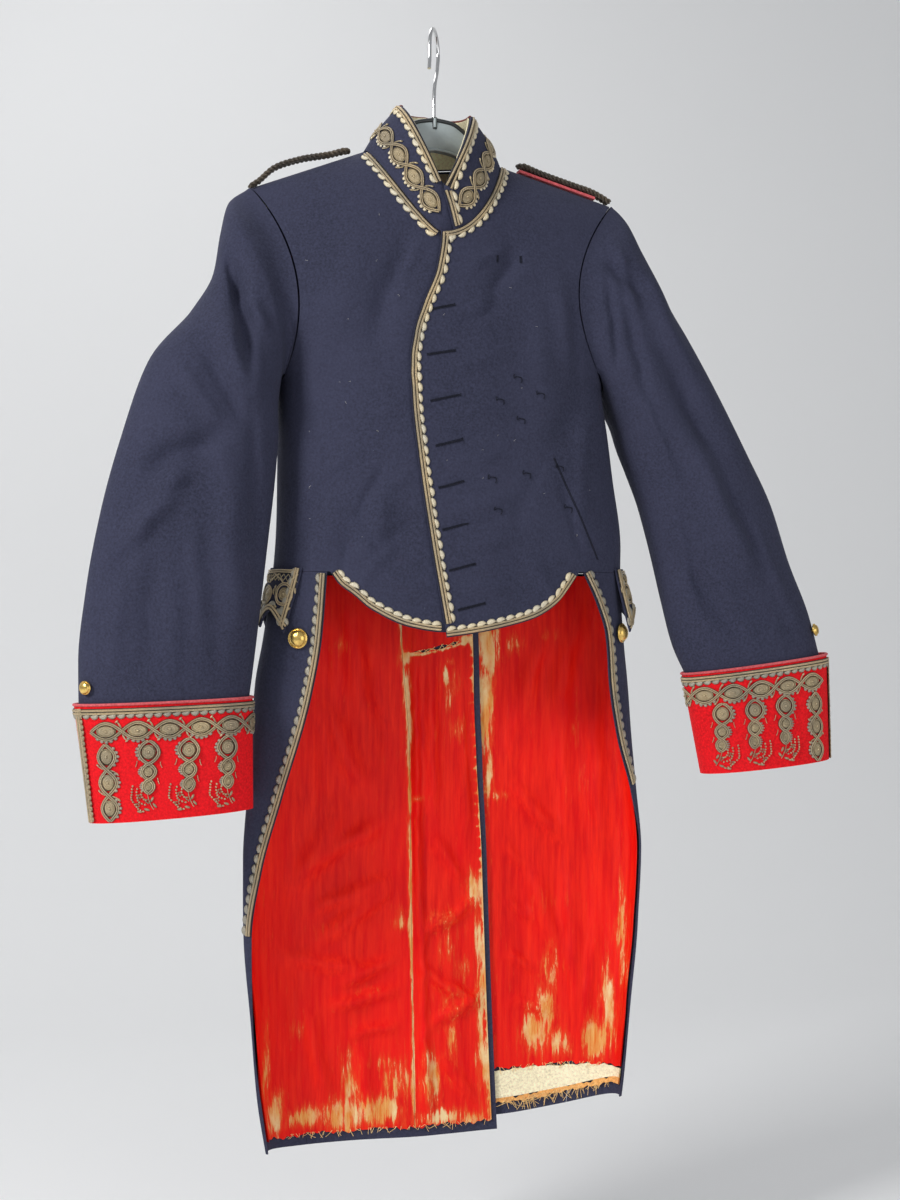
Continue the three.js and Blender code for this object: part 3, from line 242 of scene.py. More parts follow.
WAIST_EDGE = {
    "right": [(-121, -572), (-112, -585), (-98, -596), (-80, -611), (-40, -629), (-6, -634), (40, -626)],
    "left": [(-4, -639), (19, -636), (53, -630), (88, -621), (109, -610), (125, -594), (141, -572)],
}
NOTCH_X = {"right": -121, "left": 141}
PLEAT_TURN = math.radians(45)
NUDGE = 0.002
SHARP_FROM = math.radians(50)


def ease(t):
    u = np.clip(t, 0, 1)
    return u * u * (3 - 2 * u)


def between(a, b, t):
    return a + (b - a) * t


def signed_power(value, exponent):
    return np.sign(value) * np.abs(value) ** exponent


def smooth_table(rows):
    table = np.array(sorted(rows), float)
    keys, values = table[:, 0], table[:, 1:]
    rise = np.diff(values, axis=0) / np.diff(keys)[:, None]
    before, after = np.vstack([rise[:1], rise]), np.vstack([rise, rise[-1:]])
    same = before * after > 0
    slopes = np.where(same, 2 * before * after / np.where(same, before + after, 1), 0)

    def at(key):
        v = np.clip(np.asarray(key, float), keys[0], keys[-1])
        i = np.clip(np.searchsorted(keys, v, side="left") - 1, 0, len(keys) - 2)
        span = keys[i + 1] - keys[i]
        t = (v - keys[i]) / span
        t2, t3 = t * t, t * t * t
        columns = []
        for c in range(values.shape[1]):
            columns.append(
                (2 * t3 - 3 * t2 + 1) * values[i, c] + (t3 - 2 * t2 + t) * slopes[i, c] * span
                + (3 * t2 - 2 * t3) * values[i + 1, c] + (t3 - t2) * slopes[i + 1, c] * span)
        return columns if len(columns) > 1 else columns[0]
    return at


def creased(creases, x, z):
    height = np.zeros(np.broadcast(x, z).shape)
    for x1, z1, x2, z2, width, rise in creases:
        run_x, run_z = x2 - x1, z2 - z1
        length = math.hypot(run_x, run_z)
        along = ((x - x1) * run_x + (z - z1) * run_z) / length
        across = ((x - x1) * run_z - (z - z1) * run_x) / length
        bend = across + 0.12 * width * np.sin(along / width)
        ends = ease((along + 0.3 * length) / (0.6 * length)) * ease((1.3 * length - along) / (0.6 * length))
        height = height + rise * ends * np.exp(-((bend / width) ** 2))
    return height


section = smooth_table(SECTIONS)
left_edge = smooth_table(LEFT_FRONT_EDGE)
waist_edge = {side: smooth_table(rows) for side, rows in WAIST_EDGE.items()}


def shoulder_line(x):
    def over(s):
        fall = (s["tip_z"] - s["neck_z"]) / (s["tip_x"] - s["neck_x"])
        return s["neck_z"] + fall * (np.abs(x) - s["neck_x"])
    return between(over(SIDES["right"]), over(SIDES["left"]), ease((x + 40) / 80))


def body(angle, z):
    centre, half, front_depth, back_depth = section(z)
    sine, cosine = np.sin(angle), np.cos(angle)
    x = centre + half * signed_power(sine, 2 / ROUND)
    rise = np.clip((z - ARMPIT) / (shoulder_line(x) - ARMPIT), 0, 1)
    front = cosine >= 0
    fall = np.where(front, (1 - rise ** 2.5) ** 0.55, (1 - rise ** 4) ** 0.5)
    folds = FOLD_DEPTH * np.where(front, creased(FRONT_CREASES, x, z), creased(BACK_CREASES, x, z))
    depth = np.where(front, front_depth, back_depth) * fall + folds * fall * ease(np.abs(cosine) * 3)
    gap = np.where(front, -SEAM / 2, SEAM / 2) * rise
    return np.stack([x, gap - signed_power(cosine, 2 / ROUND) * depth, z + 0 * x], -1)


def angle_at(x, z, back=False):
    centre, half = section(z)[:2]
    angle = np.arcsin(signed_power(np.clip((x - centre) / half, -1, 1), ROUND / 2))
    if not back:
        return angle
    return np.where(angle < 0, -1, 1) * (np.pi - np.abs(angle))


def lifted(surface, a, b, lift):
    by_a = surface(a + NUDGE, b) - surface(a - NUDGE, b)
    by_b = surface(a, b + NUDGE) - surface(a, b - NUDGE)
    normal = np.cross(by_a, by_b)
    normal /= np.linalg.norm(normal, axis=-1, keepdims=True) + 1e-12
    return surface(a, b) + normal * np.asarray(lift)[..., None]


def armhole_x(side, z, back):
    s = SIDES[side]
    along = np.clip((2 * z - ARMPIT - s["tip_z"]) / (s["tip_z"] - ARMPIT), -1, 1)
    cut = s["cut"] * (0.65 if back else 1) * (1 - along * along)
    return between(s["pit_x"], s["sign"] * s["tip_x"], (along + 1) / 2) - s["sign"] * cut


def top_edge(side, x, back):
    s = SIDES[side]
    x = np.asarray(x, float)
    share = np.clip((x - NECK_FRONT_X) * s["sign"] / (s["neck_x"] - NECK_FRONT_X * s["sign"]), 0, 1)
    neck = shoulder_line(np.float64(s["sign"] * s["neck_x"]))
    if back:
        low = NECK_BACK_Z + (neck - NECK_BACK_Z) * share ** 3
    else:
        low = between(NECK_FRONT_Z, neck, share ** s["bow"])
    return np.where(share >= 1, shoulder_line(x), low)


def side_back_angle(z):
    along = np.clip((ARMPIT - z) / (ARMPIT - WAIST), 0, 1)
    return np.pi / 2 + np.arcsin(math.sin(PLEAT_TURN) * along ** (ROUND / 2))


def lap_lift(x):
    return LAP * (1 - ease((x - UNDERLAP_X - 4) / 45))


def patch(near, far, low, high, corner_x=None, waist_share=0):
    corner = None
    if corner_x is not None:
        corner_angle = angle_at(corner_x, WAIST)
        corner = (corner_angle - near(WAIST)) / (far(WAIST) - near(WAIST))

    def place(column, v):
        u = column
        if corner is not None:
            split = np.round(corner * 60) / 60
            u = np.where(column <= split, column / split * corner,
                         between(corner, 1, (column - split) / (1 - split)))
        angle_of = lambda z: between(near(z), far(z), u)
        bottom = low(0 * u) + 0 * u
        top = high(0 * u) + 0 * u
        for _ in range(14):
            bottom = between(bottom, low(body(angle_of(bottom), bottom)[..., 0]), 0.7)
            top = between(top, high(body(angle_of(top), top)[..., 0]), 0.7)
        z = between(bottom, top, v)
        if waist_share:
            z = np.where(v < waist_share, between(bottom, WAIST, v / waist_share),
                         between(WAIST, top, (v - waist_share) / (1 - waist_share)))
        return angle_of(z), z
    return place


def make_mesh(name, points, faces, material, smooth=True, uv=None):
    mesh = bpy.data.meshes.new(name)
    mesh.from_pydata([tuple(p) for p in (np.asarray(points) / 1000.0).tolist()], [], faces)
    if uv is not None:
        layer = mesh.uv_layers.new(name="cut")
        index = np.zeros(len(mesh.loops), int)
        mesh.loops.foreach_get("vertex_index", index)
        layer.data.foreach_set("uv", (np.asarray(uv)[index] / 1000.0).ravel())
    mesh.polygons.foreach_set("use_smooth", [smooth] * len(mesh.polygons))
    if smooth:
        mesh.set_sharp_from_angle(angle=SHARP_FROM)
    mesh.materials.append(material)
    return new_object(name, mesh)


def wall_between(name, outer, inner, material, closed_across=False, uv=None, holes=None):
    rows, columns = outer.shape[:2]
    points = np.concatenate([outer.reshape(-1, 3), inner.reshape(-1, 3)])
    across = columns if closed_across else columns - 1
    r, c = np.meshgrid(np.arange(rows - 1), np.arange(across), indexing="ij")
    r, c = r.ravel(), c.ravel()
    n = (c + 1) % columns
    at = lambda layer, row, column: layer * rows * columns + row * columns + column
    quads = [np.stack([at(0, r, c), at(0, r, n), at(0, r + 1, n), at(0, r + 1, c)], 1),
             np.stack([at(1, r, c), at(1, r + 1, c), at(1, r + 1, n), at(1, r, n)], 1)]
    if holes is not None:
        quads = [cells[~holes.ravel()] for cells in quads]
        rims = ((-1, 0, (0, 0), (0, 1)), (1, 0, (1, 1), (1, 0)), (0, -1, (1, 0), (0, 0)),
                (0, 1, (0, 1), (1, 1)))
        for over, along, first, second in rims:
            r, c = np.nonzero(holes & ~np.roll(holes, (-over, -along), (0, 1)))
            (r0, c0), (r1, c1) = ((r + down, c + right) for down, right in (first, second))
            quads.append(np.stack([at(0, r0, c0), at(0, r1, c1), at(1, r1, c1), at(1, r0, c0)], 1))
    c = np.arange(across)
    n = (c + 1) % columns
    end = rows - 1
    quads.append(np.stack([at(0, 0, n), at(0, 0, c), at(1, 0, c), at(1, 0, n)], 1))
    quads.append(np.stack([at(0, end, c), at(0, end, n), at(1, end, n), at(1, end, c)], 1))
    if not closed_across:
        r = np.arange(rows - 1)
        end = columns - 1
        quads.append(np.stack([at(0, r, 0), at(0, r + 1, 0), at(1, r + 1, 0), at(1, r, 0)], 1))
        quads.append(np.stack([at(0, r + 1, end), at(0, r, end), at(1, r, end), at(1, r + 1, end)], 1))
    faces = np.concatenate(quads)
    p = points[faces]
    volume = np.einsum("ij,ij->i", p[:, 0], np.cross(p[:, 1], p[:, 2])).sum()
    volume += np.einsum("ij,ij->i", p[:, 0], np.cross(p[:, 2], p[:, 3])).sum()
    if volume < 0:
        faces = faces[:, ::-1]
    if uv is None:
        step_u = np.linalg.norm(np.diff(outer, axis=1), axis=-1)
        step_v = np.linalg.norm(np.diff(outer, axis=0), axis=-1)
        u = np.concatenate([np.zeros((rows, 1)), np.cumsum(step_u, 1)], 1)
        v = np.concatenate([np.zeros((1, columns)), np.cumsum(step_v, 0)], 0)
        uv = np.stack([u - u.mean(), v], -1)
    uv = np.concatenate([uv.reshape(-1, 2)] * 2)
    piece = make_mesh(name, points, faces.tolist(), material, uv=uv)
    a, b = outer[:-1, :-1] - outer[1:, 1:], outer[:-1, 1:] - outer[1:, :-1]
    area = np.linalg.norm(np.cross(a, b), axis=-1).sum() / 2e6
    wide = np.linalg.norm(np.diff(outer, axis=1), axis=-1).sum(1).max() / 1000
    tall = np.linalg.norm(np.diff(outer, axis=0), axis=-1).sum(0).max() / 1000
    return piece, (float(wide), float(tall), float(area))


def cloth_shell(name, surface, place, columns, rows, thickness, material, facing=1, closed_across=False):
    u = np.arange(columns if closed_across else columns + 1) / columns
    grid_u, grid_v = np.meshgrid(u, np.arange(rows + 1) / rows)
    a, b, lift = place(grid_u, grid_v)
    outer = lifted(surface, a, b, lift * facing)
    inner = lifted(surface, a, b, (lift - thickness) * facing)
    return wall_between(name, outer, inner, material, closed_across)


def declare(piece, slot, *nodes):
    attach(piece, "root")
    if nodes:
        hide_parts(*nodes)
    return piece


def declare_cloth(piece, cut, slot, *nodes, rests_on=()):
    wide, tall, area = cut
    declare(piece, slot, *nodes)
    list(rests_on)


def new_group(name, kind, inputs, output):
    tree = bpy.data.node_groups.new(name, kind)
    for label, socket in inputs.items():
        tree.interface.new_socket(label, in_out="INPUT", socket_type="NodeSocket" + socket)
    label, socket = output
    tree.interface.new_socket(label, in_out="OUTPUT", socket_type="NodeSocket" + socket)
    return tree, add_node(tree, "NodeGroupInput").outputs, add_node(tree, "NodeGroupOutput")


def reckoned(tree, operation, *values):
    return add_node(tree, "ShaderNodeMath", dict(enumerate(values)), operation=operation).outputs[0]


def weave_group():
    tree, source, result = new_group(
        "woven_threads", "ShaderNodeTree", {"Vector": "Vector", "Threads": "Float", "Slant": "Float"},
        ("Height", "Float"))
    split = add_node(tree, "ShaderNodeSeparateXYZ", {0: source["Vector"]}).outputs
    slanted = reckoned(tree, "MULTIPLY_ADD", split["Y"], source["Slant"], split["X"])
    waves = [reckoned(tree, "SINE", reckoned(tree, "MULTIPLY", way, source["Threads"]))
             for way in (slanted, split["Y"])]
    fed(tree, result, {"Height": reckoned(tree, "ADD", *waves)})
    return tree


def mottled_group():
    tree, source, result = new_group(
        "mottled_mask", "ShaderNodeTree",
        {"Vector": "Vector", "Scale": "Float", "Stretch": "Vector", "Low": "Float", "High": "Float"},
        ("Mask", "Float"))
    stretched = add_node(tree, "ShaderNodeVectorMath", {0: source["Vector"], 1: source["Stretch"]},
                         operation="MULTIPLY")
    noise = add_node(tree, "ShaderNodeTexNoise", {
        "Detail": 6.0, "Roughness": 0.62, "Vector": stretched.outputs[0], "Scale": source["Scale"]})
    window = add_node(tree, "ShaderNodeMapRange", {
        "Value": noise.outputs["Fac"], "From Min": source["Low"], "From Max": source["High"]})
    fed(tree, result, {"Mask": window.outputs["Result"]})
    return tree


woven_threads = weave_group()
mottled_mask = mottled_group()


def mask_node(tree, vector, scale, low, high, stretch=(1, 1, 1)):
    return add_node(tree, "ShaderNodeGroup", {
        "Vector": vector, "Scale": scale, "Stretch": stretch, "Low": low, "High": high},
        node_tree=mottled_mask).outputs["Mask"]


def weave_node(tree, spread, threads_per_metre, slant):
    return add_node(tree, "ShaderNodeGroup", {
        "Vector": spread, "Threads": 2 * math.pi * threads_per_metre, "Slant": slant},
        node_tree=woven_threads).outputs["Height"]


def bumped(tree, shader, height, strength, distance):
    bump = add_node(tree, "ShaderNodeBump", {"Strength": strength, "Distance": distance, "Height": height})
    fed(tree, shader, {"Normal": bump.outputs["Normal"]})


def tinted(tree, below, above, mask):
    below, above = ((*colour, 1) if isinstance(colour, tuple) else colour for colour in (below, above))
    return add_node(tree, "ShaderNodeMix", {0: mask, 6: below, 7: above}, data_type="RGBA").outputs[2]


def wool(name, dark, light, lint, nap=0.25, fleck=0.72):
    material, tree, shader = new_material(name, {
        "Roughness": 0.88, "Sheen Weight": nap, "Sheen Roughness": 0.45, "Sheen Tint": (*lint, 1),
        "Specular IOR Level": 0.25})
    where = add_node(tree, "ShaderNodeTexCoord").outputs
    patchy = mask_node(tree, where["Object"], 9.0, 0.35, 0.68)
    grain = mask_node(tree, where["Object"], 420.0, 0.3, 0.72)
    flecks = mask_node(tree, where["Object"], 330.0, fleck, fleck + 0.05)
    cloth = tinted(tree, dark, light, patchy)
    cloth = tinted(tree, cloth, tuple(c * 1.45 for c in light), grain)
    cloth = tinted(tree, cloth, lint, reckoned(tree, "MULTIPLY", flecks, 0.5))
    fed(tree, shader, {"Base Color": cloth})
    weave = weave_node(tree, where["UV"], 1300, 0.7)
    bumped(tree, shader, reckoned(tree, "MULTIPLY_ADD", weave, 0.2, grain), 0.35, 0.0006)
    return material


navy_wool = wool("navy_wool", (0.021, 0.023, 0.043), (0.034, 0.036, 0.066), (0.2, 0.21, 0.27), nap=0.12)


def front_panel(side):
    sign = SIDES[side]["sign"]
    hidden = lambda z: between(NECK_FRONT_X - 1, UNDERLAP_X, ease((-223 - z) / 90))
    near = lambda z: angle_at(left_edge(z) if side == "left" else hidden(z), z)
    far = lambda z: np.where(z > ARMPIT, angle_at(armhole_x(side, z, False), z),
                             sign * (side_back_angle(z) - 0.0016))
    low = lambda x: np.where((x - NOTCH_X[side]) * sign > -0.01, WAIST, waist_edge[side](x))
    spread = patch(near, far, low, lambda x: top_edge(side, x, False), corner_x=NOTCH_X[side])

    def place(u, v):
        a, b = spread(u, v)
        return a, b, lap_lift(body(a, b)[..., 0]) if side == "left" else 0 * a
    return cloth_shell(f"navy_front_{side}", body, place, 120, 110, CLOTH, navy_wool)


for side in ("right", "left"):
    piece, cut = front_panel(side)
    declare_cloth(piece, cut, "navy_cloth", f"front_{side}", rests_on=["hanger_body"])


# The two backs of navy wool. Each is cut in one with its tail, and the right tail lies in under
# the left one along the open vent.
VENT_LAP = 5.6
VENT_EDGE = smooth_table([(-560, 57), (-636, 59), (-820, 67), (-1038, 75), (-1190, 81)])
HEM = {
    "right": smooth_table([(-210, -1172), (-135, -1179), (-26, -1181), (90, -1177)]),
    "left": smooth_table([(-20, -1168), (85, -1163), (150, -1153), (220, -1134)]),
}


def vent_lift(x, z):
    return -VENT_LAP * ease((x + 84) / 90) * ease((WAIST + 68 - z) / 45)


def angle_beyond(x, z):
    angle = angle_at(x, z, True)
    return np.where(angle > 0, angle - 2 * np.pi, angle)


def back_panel(side):
    sign = SIDES[side]["sign"]

    def near(z):
        centre = section(z)[0] + SEAM / 2 * sign
        if side == "left":
            return angle_at(centre, z, True)
        return angle_beyond(between(centre, VENT_EDGE(z), ease((WAIST + 24 - z) / 16)), z)
    far = lambda z: np.where(z > ARMPIT, angle_at(armhole_x(side, z, True), z, True),
                             sign * (side_back_angle(z) + 0.0016))
    spread = patch(near, far, HEM[side], lambda x: top_edge(side, x, True), waist_share=0.5)

    def place(u, v):
        a, b = spread(u, v)
        return a, b, vent_lift(body(a, b)[..., 0], b) if side == "right" else 0 * a
    return cloth_shell(f"navy_back_{side}", body, place, 60, 150, CLOTH, navy_wool)


for side in ("right", "left"):
    piece, cut = back_panel(side)
    declare_cloth(piece, cut, "navy_cloth", f"back_{side}", rests_on=["hanger_body"])


# The two skirts of navy wool, which hang from the waist seam at the sides of the tails.
SKIRT_EDGE = {
    "right": smooth_table([(-572, -124), (-642, -129), (-702, -138), (-806, -165), (-880, -184),
                           (-952, -194), (-1040, -192.5), (-1180, -176)]),
    "left": smooth_table([(-572, 146), (-605, 164), (-636, 176), (-696, 184), (-750, 196), (-806, 215),
                          (-870, 228.5), (-950, 226), (-1040, 217.5), (-1180, 200)]),
}


def skirt_panel(side):
    sign = SIDES[side]["sign"]
    spread = patch(lambda z: angle_at(SKIRT_EDGE[side](z), z),
                   lambda z: sign * (side_back_angle(z) - 0.0016), HEM[side],
                   lambda x: WAIST - SEAM + 0 * x)
    return cloth_shell(f"navy_skirt_{side}", body, lambda u, v: (*spread(u, v), 0 * u), 48, 110, CLOTH,
                       navy_wool)


for side in ("right", "left"):
    piece, cut = skirt_panel(side)
    declare_cloth(piece, cut, "navy_cloth", f"skirt_{side}")


# The sleeves: a top and an under half each, joined by an inner and an outer seam. They hang
# slack, with a folded elbow on the right one and long soft folds on the left one.
# ring, inner x, z, outer x, z, half depth, middle, bend
SLEEVE_RINGS = {
    "right": [(0, -165, -378, -194, -175, 58, 0, 27), (1, -166, -386, -216, -193, 56, -6, 20),
              (2, -167, -396, -225, -226, 53, -14, 12), (3, -168, -410, -233, -268, 50, -22, 5),
              (4, -168, -428, -256, -308, 47, -31, 0), (5, -170, -450, -298, -358, 44, -38, 0),
              (6, -174, -490, -327, -438, 42, -42, 0), (7, -180, -540, -347, -512, 40, -43, 0),
              (8, -187, -601, -361.5, -590, 38, -43, 0), (9, -194, -661, -369, -661, 35, -42, 0),
              (10, -201, -713, -368.5, -718, 32, -42, 0)],
    "left": [(0, 182, -378, 194, -176, 58, 0, 45), (1, 185.5, -390, 210, -195, 56, -2, 34),
             (2, 190, -405, 224, -226, 53, -5, 20), (3, 195.5, -421, 242.5, -268, 50, -8, 9),
             (4, 200, -441, 272, -314, 47, -10, 3), (5, 208, -464, 305.5, -372, 44, -12, 0),
             (6, 220, -496, 342.5, -442, 42, -13, 0), (7, 234, -547, 369.5, -496, 40, -14, 0),
             (8, 247, -601, 391.5, -560, 38, -14, 0), (9, 259, -648, 414, -615, 35, -15, 0),
             (10, 283, -698, 432, -679, 32, -15, 0)],
}
SLEEVE_CREASES = {
    "right": [(-214, -262, -206, -372, 8, -7), (-236, -322, -196, -392, 16, 6),
              (-302, -472, -236, -438, 12, -5), (-318, -545, -272, -470, 13, 4.5),
              (-226, -470, -214, -640, 17, 4), (-224, -252, -214, -300, 5, -3.5),
              (-206, -300, -186, -330, 7, 2.5), (-250, -352, -214, -418, 7, -2.6),
              (-272, -372, -236, -424, 6, 2.2), (-286, -420, -232, -452, 6, 2.0),
              (-316, -508, -262, -486, 6, -2.0), (-334, -570, -290, -520, 8, -2.0),
              (-262, -520, -252, -640, 9, 1.8), (-300, -560, -306, -690, 10, -1.8),
              (-332, -590, -342, -690, 9, 1.6), (-202, -420, -196, -560, 6, -1.6),
              (-196, -212, -176, -250, 9, 2.2), (-238, -640, -236, -700, 7, -1.2),
              (-278, -600, -280, -690, 7, 1.3)],
    "left": [(176, -246, 214, -274, 8, -4.5), (222, -250, 262, -352, 14, 5),
             (236, -330, 300, -452, 15, -5), (272, -440, 330, -560, 15, 5),
             (262, -560, 330, -640, 14, -4), (188, -224, 206, -300, 6, 2.4),
             (196, -300, 218, -380, 7, -2.4), (176, -268, 186, -350, 5, -2.2),
             (214, -392, 250, -470, 6, 2.0), (252, -372, 286, -430, 6, -1.8),
             (300, -470, 352, -560, 8, -2.0), (340, -520, 388, -620, 8, 1.9),
             (300, -580, 350, -664, 8, 1.8), (248, -500, 276, -600, 7, 1.8),
             (290, -640, 300, -690, 7, 1.4), (370, -600, 400, -670, 8, -1.6),
             (226, -226, 246, -290, 7, 1.6)],
}
UNDER_CREASES = {
    "right": [(-214, -262, -206, -372, 9, -4), (-226, -340, -196, -400, 14, 4),
              (-296, -470, -232, -448, 11, -3.4), (-300, -560, -260, -480, 12, 3.2),
              (-232, -490, -222, -650, 14, 3), (-320, -580, -316, -690, 10, -2)],
    "left": [(186, -250, 216, -290, 8, -3), (226, -260, 266, -360, 13, 3.6),
             (240, -340, 296, -448, 13, -3.4), (276, -450, 326, -556, 13, 3.4),
             (280, -570, 336, -650, 12, -2.8), (350, -540, 390, -640, 9, 2)],
}
ARMHOLE_GAP = 1.9


def sleeve_surface(side):
    rings = smooth_table(SLEEVE_RINGS[side])
    sign = SIDES[side]["sign"]

    def surface(angle, along):
        in_x, in_z, out_x, out_z, depth, middle, ring_bend = rings(along * 10)
        cosine = signed_power(np.cos(angle), 0.92)
        sine = signed_power(np.sin(angle), 0.92)
        front = sine >= 0
        bend = ring_bend * np.where(front, 1, 0.65) * (1 - cosine * cosine)
        x = between(in_x, out_x, (cosine + 1) / 2) - sign * bend + sign * ARMHOLE_GAP
        z = between(in_z, out_z, (cosine + 1) / 2)
        folds = FOLD_DEPTH * np.where(front, creased(SLEEVE_CREASES[side], x, z),
                                      creased(UNDER_CREASES[side], x, z))
        folds = folds * ease(along * 8) * ease((1 - along) * 5) * ease(np.abs(sine) * 2.5)
        sleeve_y = middle - sine * depth - np.where(front, 1, -1) * folds
        seam_x = x - sign * ARMHOLE_GAP
        body_angle = np.where(front, angle_at(seam_x, z), angle_at(seam_x, z, True))
        apart = between(1, ease(np.abs(sine) * 5), ease(along * 60))
        apart = np.where(cosine > 0, apart, 1)
        body_y = body(body_angle, z)[..., 1] * apart - np.where(front, 0.2, -0.2) * (1 - apart)
        return np.stack([x, between(body_y, sleeve_y, ease(along / 0.16)), z], -1)
    return surface


SLEEVE_FACING = {"right": -1, "left": 1}
sleeve = {side: sleeve_surface(side) for side in ("right", "left")}


def sleeve_half(side, face):
    columns, rows = (72, 110) if face == "top" else (44, 74)
    start = 0.004 if face == "top" else np.pi + 0.004

    def place(u, v):
        return start + u * (np.pi - 0.008), (1 - v) ** 1.15, 0 * u
    return cloth_shell(f"navy_{face}_sleeve_{side}", sleeve[side], place, columns, rows, CLOTH, navy_wool,
                       facing=SLEEVE_FACING[side])


for side in ("right", "left"):
    for face in ("top", "under"):
        piece, cut = sleeve_half(side, face)
        declare_cloth(piece, cut, "navy_cloth", f"{face}_sleeve_{side}")


# The turned cuffs of red wool, stiffened, so that they stand a little clear of the sleeve.
CUFF_RINGS = {
    "right": [(0, -197.5, -699, -375.2, -705, 35.6, -42), (1, -197, -811, -360, -822, 34, -42)],
    "left": [(0, 272.5, -681, 438, -660, 35.6, -15), (1, 294, -789, 441, -775, 34, -15)],
}
CUFF_CLOTH = 1.6


def cuff_surface(side):
    rings = smooth_table(CUFF_RINGS[side])

    def surface(angle, at):
        in_x, in_z, out_x, out_z, depth, middle = rings(at)
        cosine = signed_power(np.cos(angle), 0.92)
        sine = signed_power(np.sin(angle), 0.92)
        x = between(in_x, out_x, (cosine + 1) / 2)
        z = between(in_z, out_z, (cosine + 1) / 2)
        ripple = 0.7 * np.sin(3 * angle + 2 * at) * np.sin(np.pi * np.clip(at, 0, 1))
        return np.stack([x, middle - sine * (depth + ripple), z], -1)
    return surface


cuff = {side: cuff_surface(side) for side in ("right", "left")}
cuff_wool = wool("cuff_wool", (0.54, 0.003, 0.006), (0.7, 0.006, 0.011), (0.8, 0.1, 0.1), nap=0.05,
                 fleck=0.78)
for side in ("right", "left"):
    piece, cut = cloth_shell(f"red_cuff_{side}", cuff[side],
                             lambda u, v: (u * 2 * np.pi + 0.001, 1 - v, 0 * u), 120, 24, CUFF_CLOTH,
                             cuff_wool, facing=SLEEVE_FACING[side], closed_across=True)
    declare_cloth(piece, cut, "cuff_cloth", f"cuff_{side}", rests_on=[f"navy_top_sleeve_{side}"])


# The standing collar of navy wool in two halves, with a cream lining. Its left end lies out over
# the right one, as the fronts below do.
COLLAR = dict(centre=-3, top_half=38, top_y=-15, top_depth=47, front_z=-177, back_z=-84,
              peak={"right": -85, "left": -92})


def collar(angle, up):
    sine, cosine = np.sin(angle), np.cos(angle)
    right, front = sine >= 0, cosine >= 0
    near = np.abs(sine)
    pick = lambda key: np.where(right, SIDES["right"][key], SIDES["left"][key])
    sign, neck_x = pick("sign"), pick("neck_x")
    x0 = np.where(front, between(NECK_FRONT_X, sign * neck_x, near), sign * neck_x * near)
    edge = lambda back: np.where(right, top_edge("right", x0, back), top_edge("left", x0, back))
    z0 = np.where(front, edge(False), edge(True))
    seam_angle = np.where(front, angle_at(x0, z0 - 0.5), angle_at(x0, z0 - 0.5, True))
    y0 = body(seam_angle, z0 - 0.5)[..., 1]
    peak = np.where(right, COLLAR["peak"]["right"], COLLAR["peak"]["left"])
    z1 = between(np.where(front, COLLAR["front_z"], COLLAR["back_z"]), peak, near)
    x1 = COLLAR["centre"] + sign * COLLAR["top_half"] * near
    y1 = COLLAR["top_y"] - COLLAR["top_depth"] * cosine
    swell = 3 * np.sin(np.pi * np.clip(up, 0, 1))
    return np.stack([between(x0, x1, up) + sign * swell * near, between(y0, y1, up) - swell * cosine,
                     between(z0, z1, up)], -1)


def collar_lift(angle):
    x = between(NECK_FRONT_X, SIDES["left"]["neck_x"], np.abs(np.sin(np.minimum(angle, 2 * np.pi))))
    return np.where(angle < 1.5 * np.pi, 0, lap_lift(x))


def collar_part(name, start, end, low, depth, thickness, material, columns):
    def place(u, v):
        angle = between(start, end(v), u)
        return angle, between(low, 1, v), collar_lift(angle) - depth
    return cloth_shell(name, collar, place, columns, 26, thickness, material, facing=-1)


collar_end = lambda up: between(math.radians(350), math.radians(362), up)
piece, cut = collar_part("navy_collar_right", math.radians(-13), lambda v: math.pi - 0.004, 0.012, 0,
                         CLOTH, navy_wool, 90)
declare_cloth(piece, cut, "navy_cloth", "collar_right")
piece, cut = collar_part("navy_collar_left", math.pi + 0.004, collar_end, 0.012, 0, CLOTH, navy_wool, 90)
declare_cloth(piece, cut, "navy_cloth", "collar_left")
cream_cloth = wool("cream_cloth", (0.62, 0.53, 0.33), (0.86, 0.79, 0.55), (0.98, 0.95, 0.85), nap=0.08,
                   fleck=0.7)
piece, cut = collar_part("cream_collar_lining", math.radians(-8), lambda v: math.radians(338), 0.02,
                         CLOTH + 1.4, 1.1, cream_cloth, 96)
declare_cloth(piece, cut, "cream_cloth", "collar_lining")


# The pocket flaps of navy wool, pointed at both ends and in the middle, hang from the waist seam.
FLAP_EDGE = smooth_table([(0, 63), (0.12, 51), (0.28, 41), (0.42, 48), (0.5, 58), (0.58, 48), (0.72, 41),
                          (0.88, 51), (1, 63)])
FLAPS = {"right": (-147, 5), "left": (186, 11)}
FLAP_CLOTH = 2.0
FLAP_RISE = 4.0
FLAP_LENGTH = 150.0
FLAP_SLANT = 12.0


def flap_surface(side):
    sign = SIDES[side]["sign"]
    front_x, stand = FLAPS[side]
    start = angle_at(front_x, WAIST)

    def surface(across, down):
        slant = FLAP_SLANT * down
        along = slant + across * (FLAP_LENGTH - 2 * slant)
        z = WAIST + FLAP_RISE - down * (FLAP_EDGE(across) + FLAP_RISE)
        return lifted(body, start + sign * along / 150.0, z, SEAM + 0.3 + FLAP_CLOTH + down * stand)
    return surface


FLAP_FACING = {"right": 1, "left": -1}
flap = {side: flap_surface(side) for side in ("right", "left")}
for side in ("right", "left"):
    piece, cut = cloth_shell(f"navy_flap_{side}", flap[side], lambda u, v: (u, 1 - v, 0 * u), 64, 22,
                             FLAP_CLOTH, navy_wool, facing=FLAP_FACING[side])
    declare_cloth(piece, cut, "navy_cloth", f"flap_{side}", rests_on=[f"navy_skirt_{side}"])


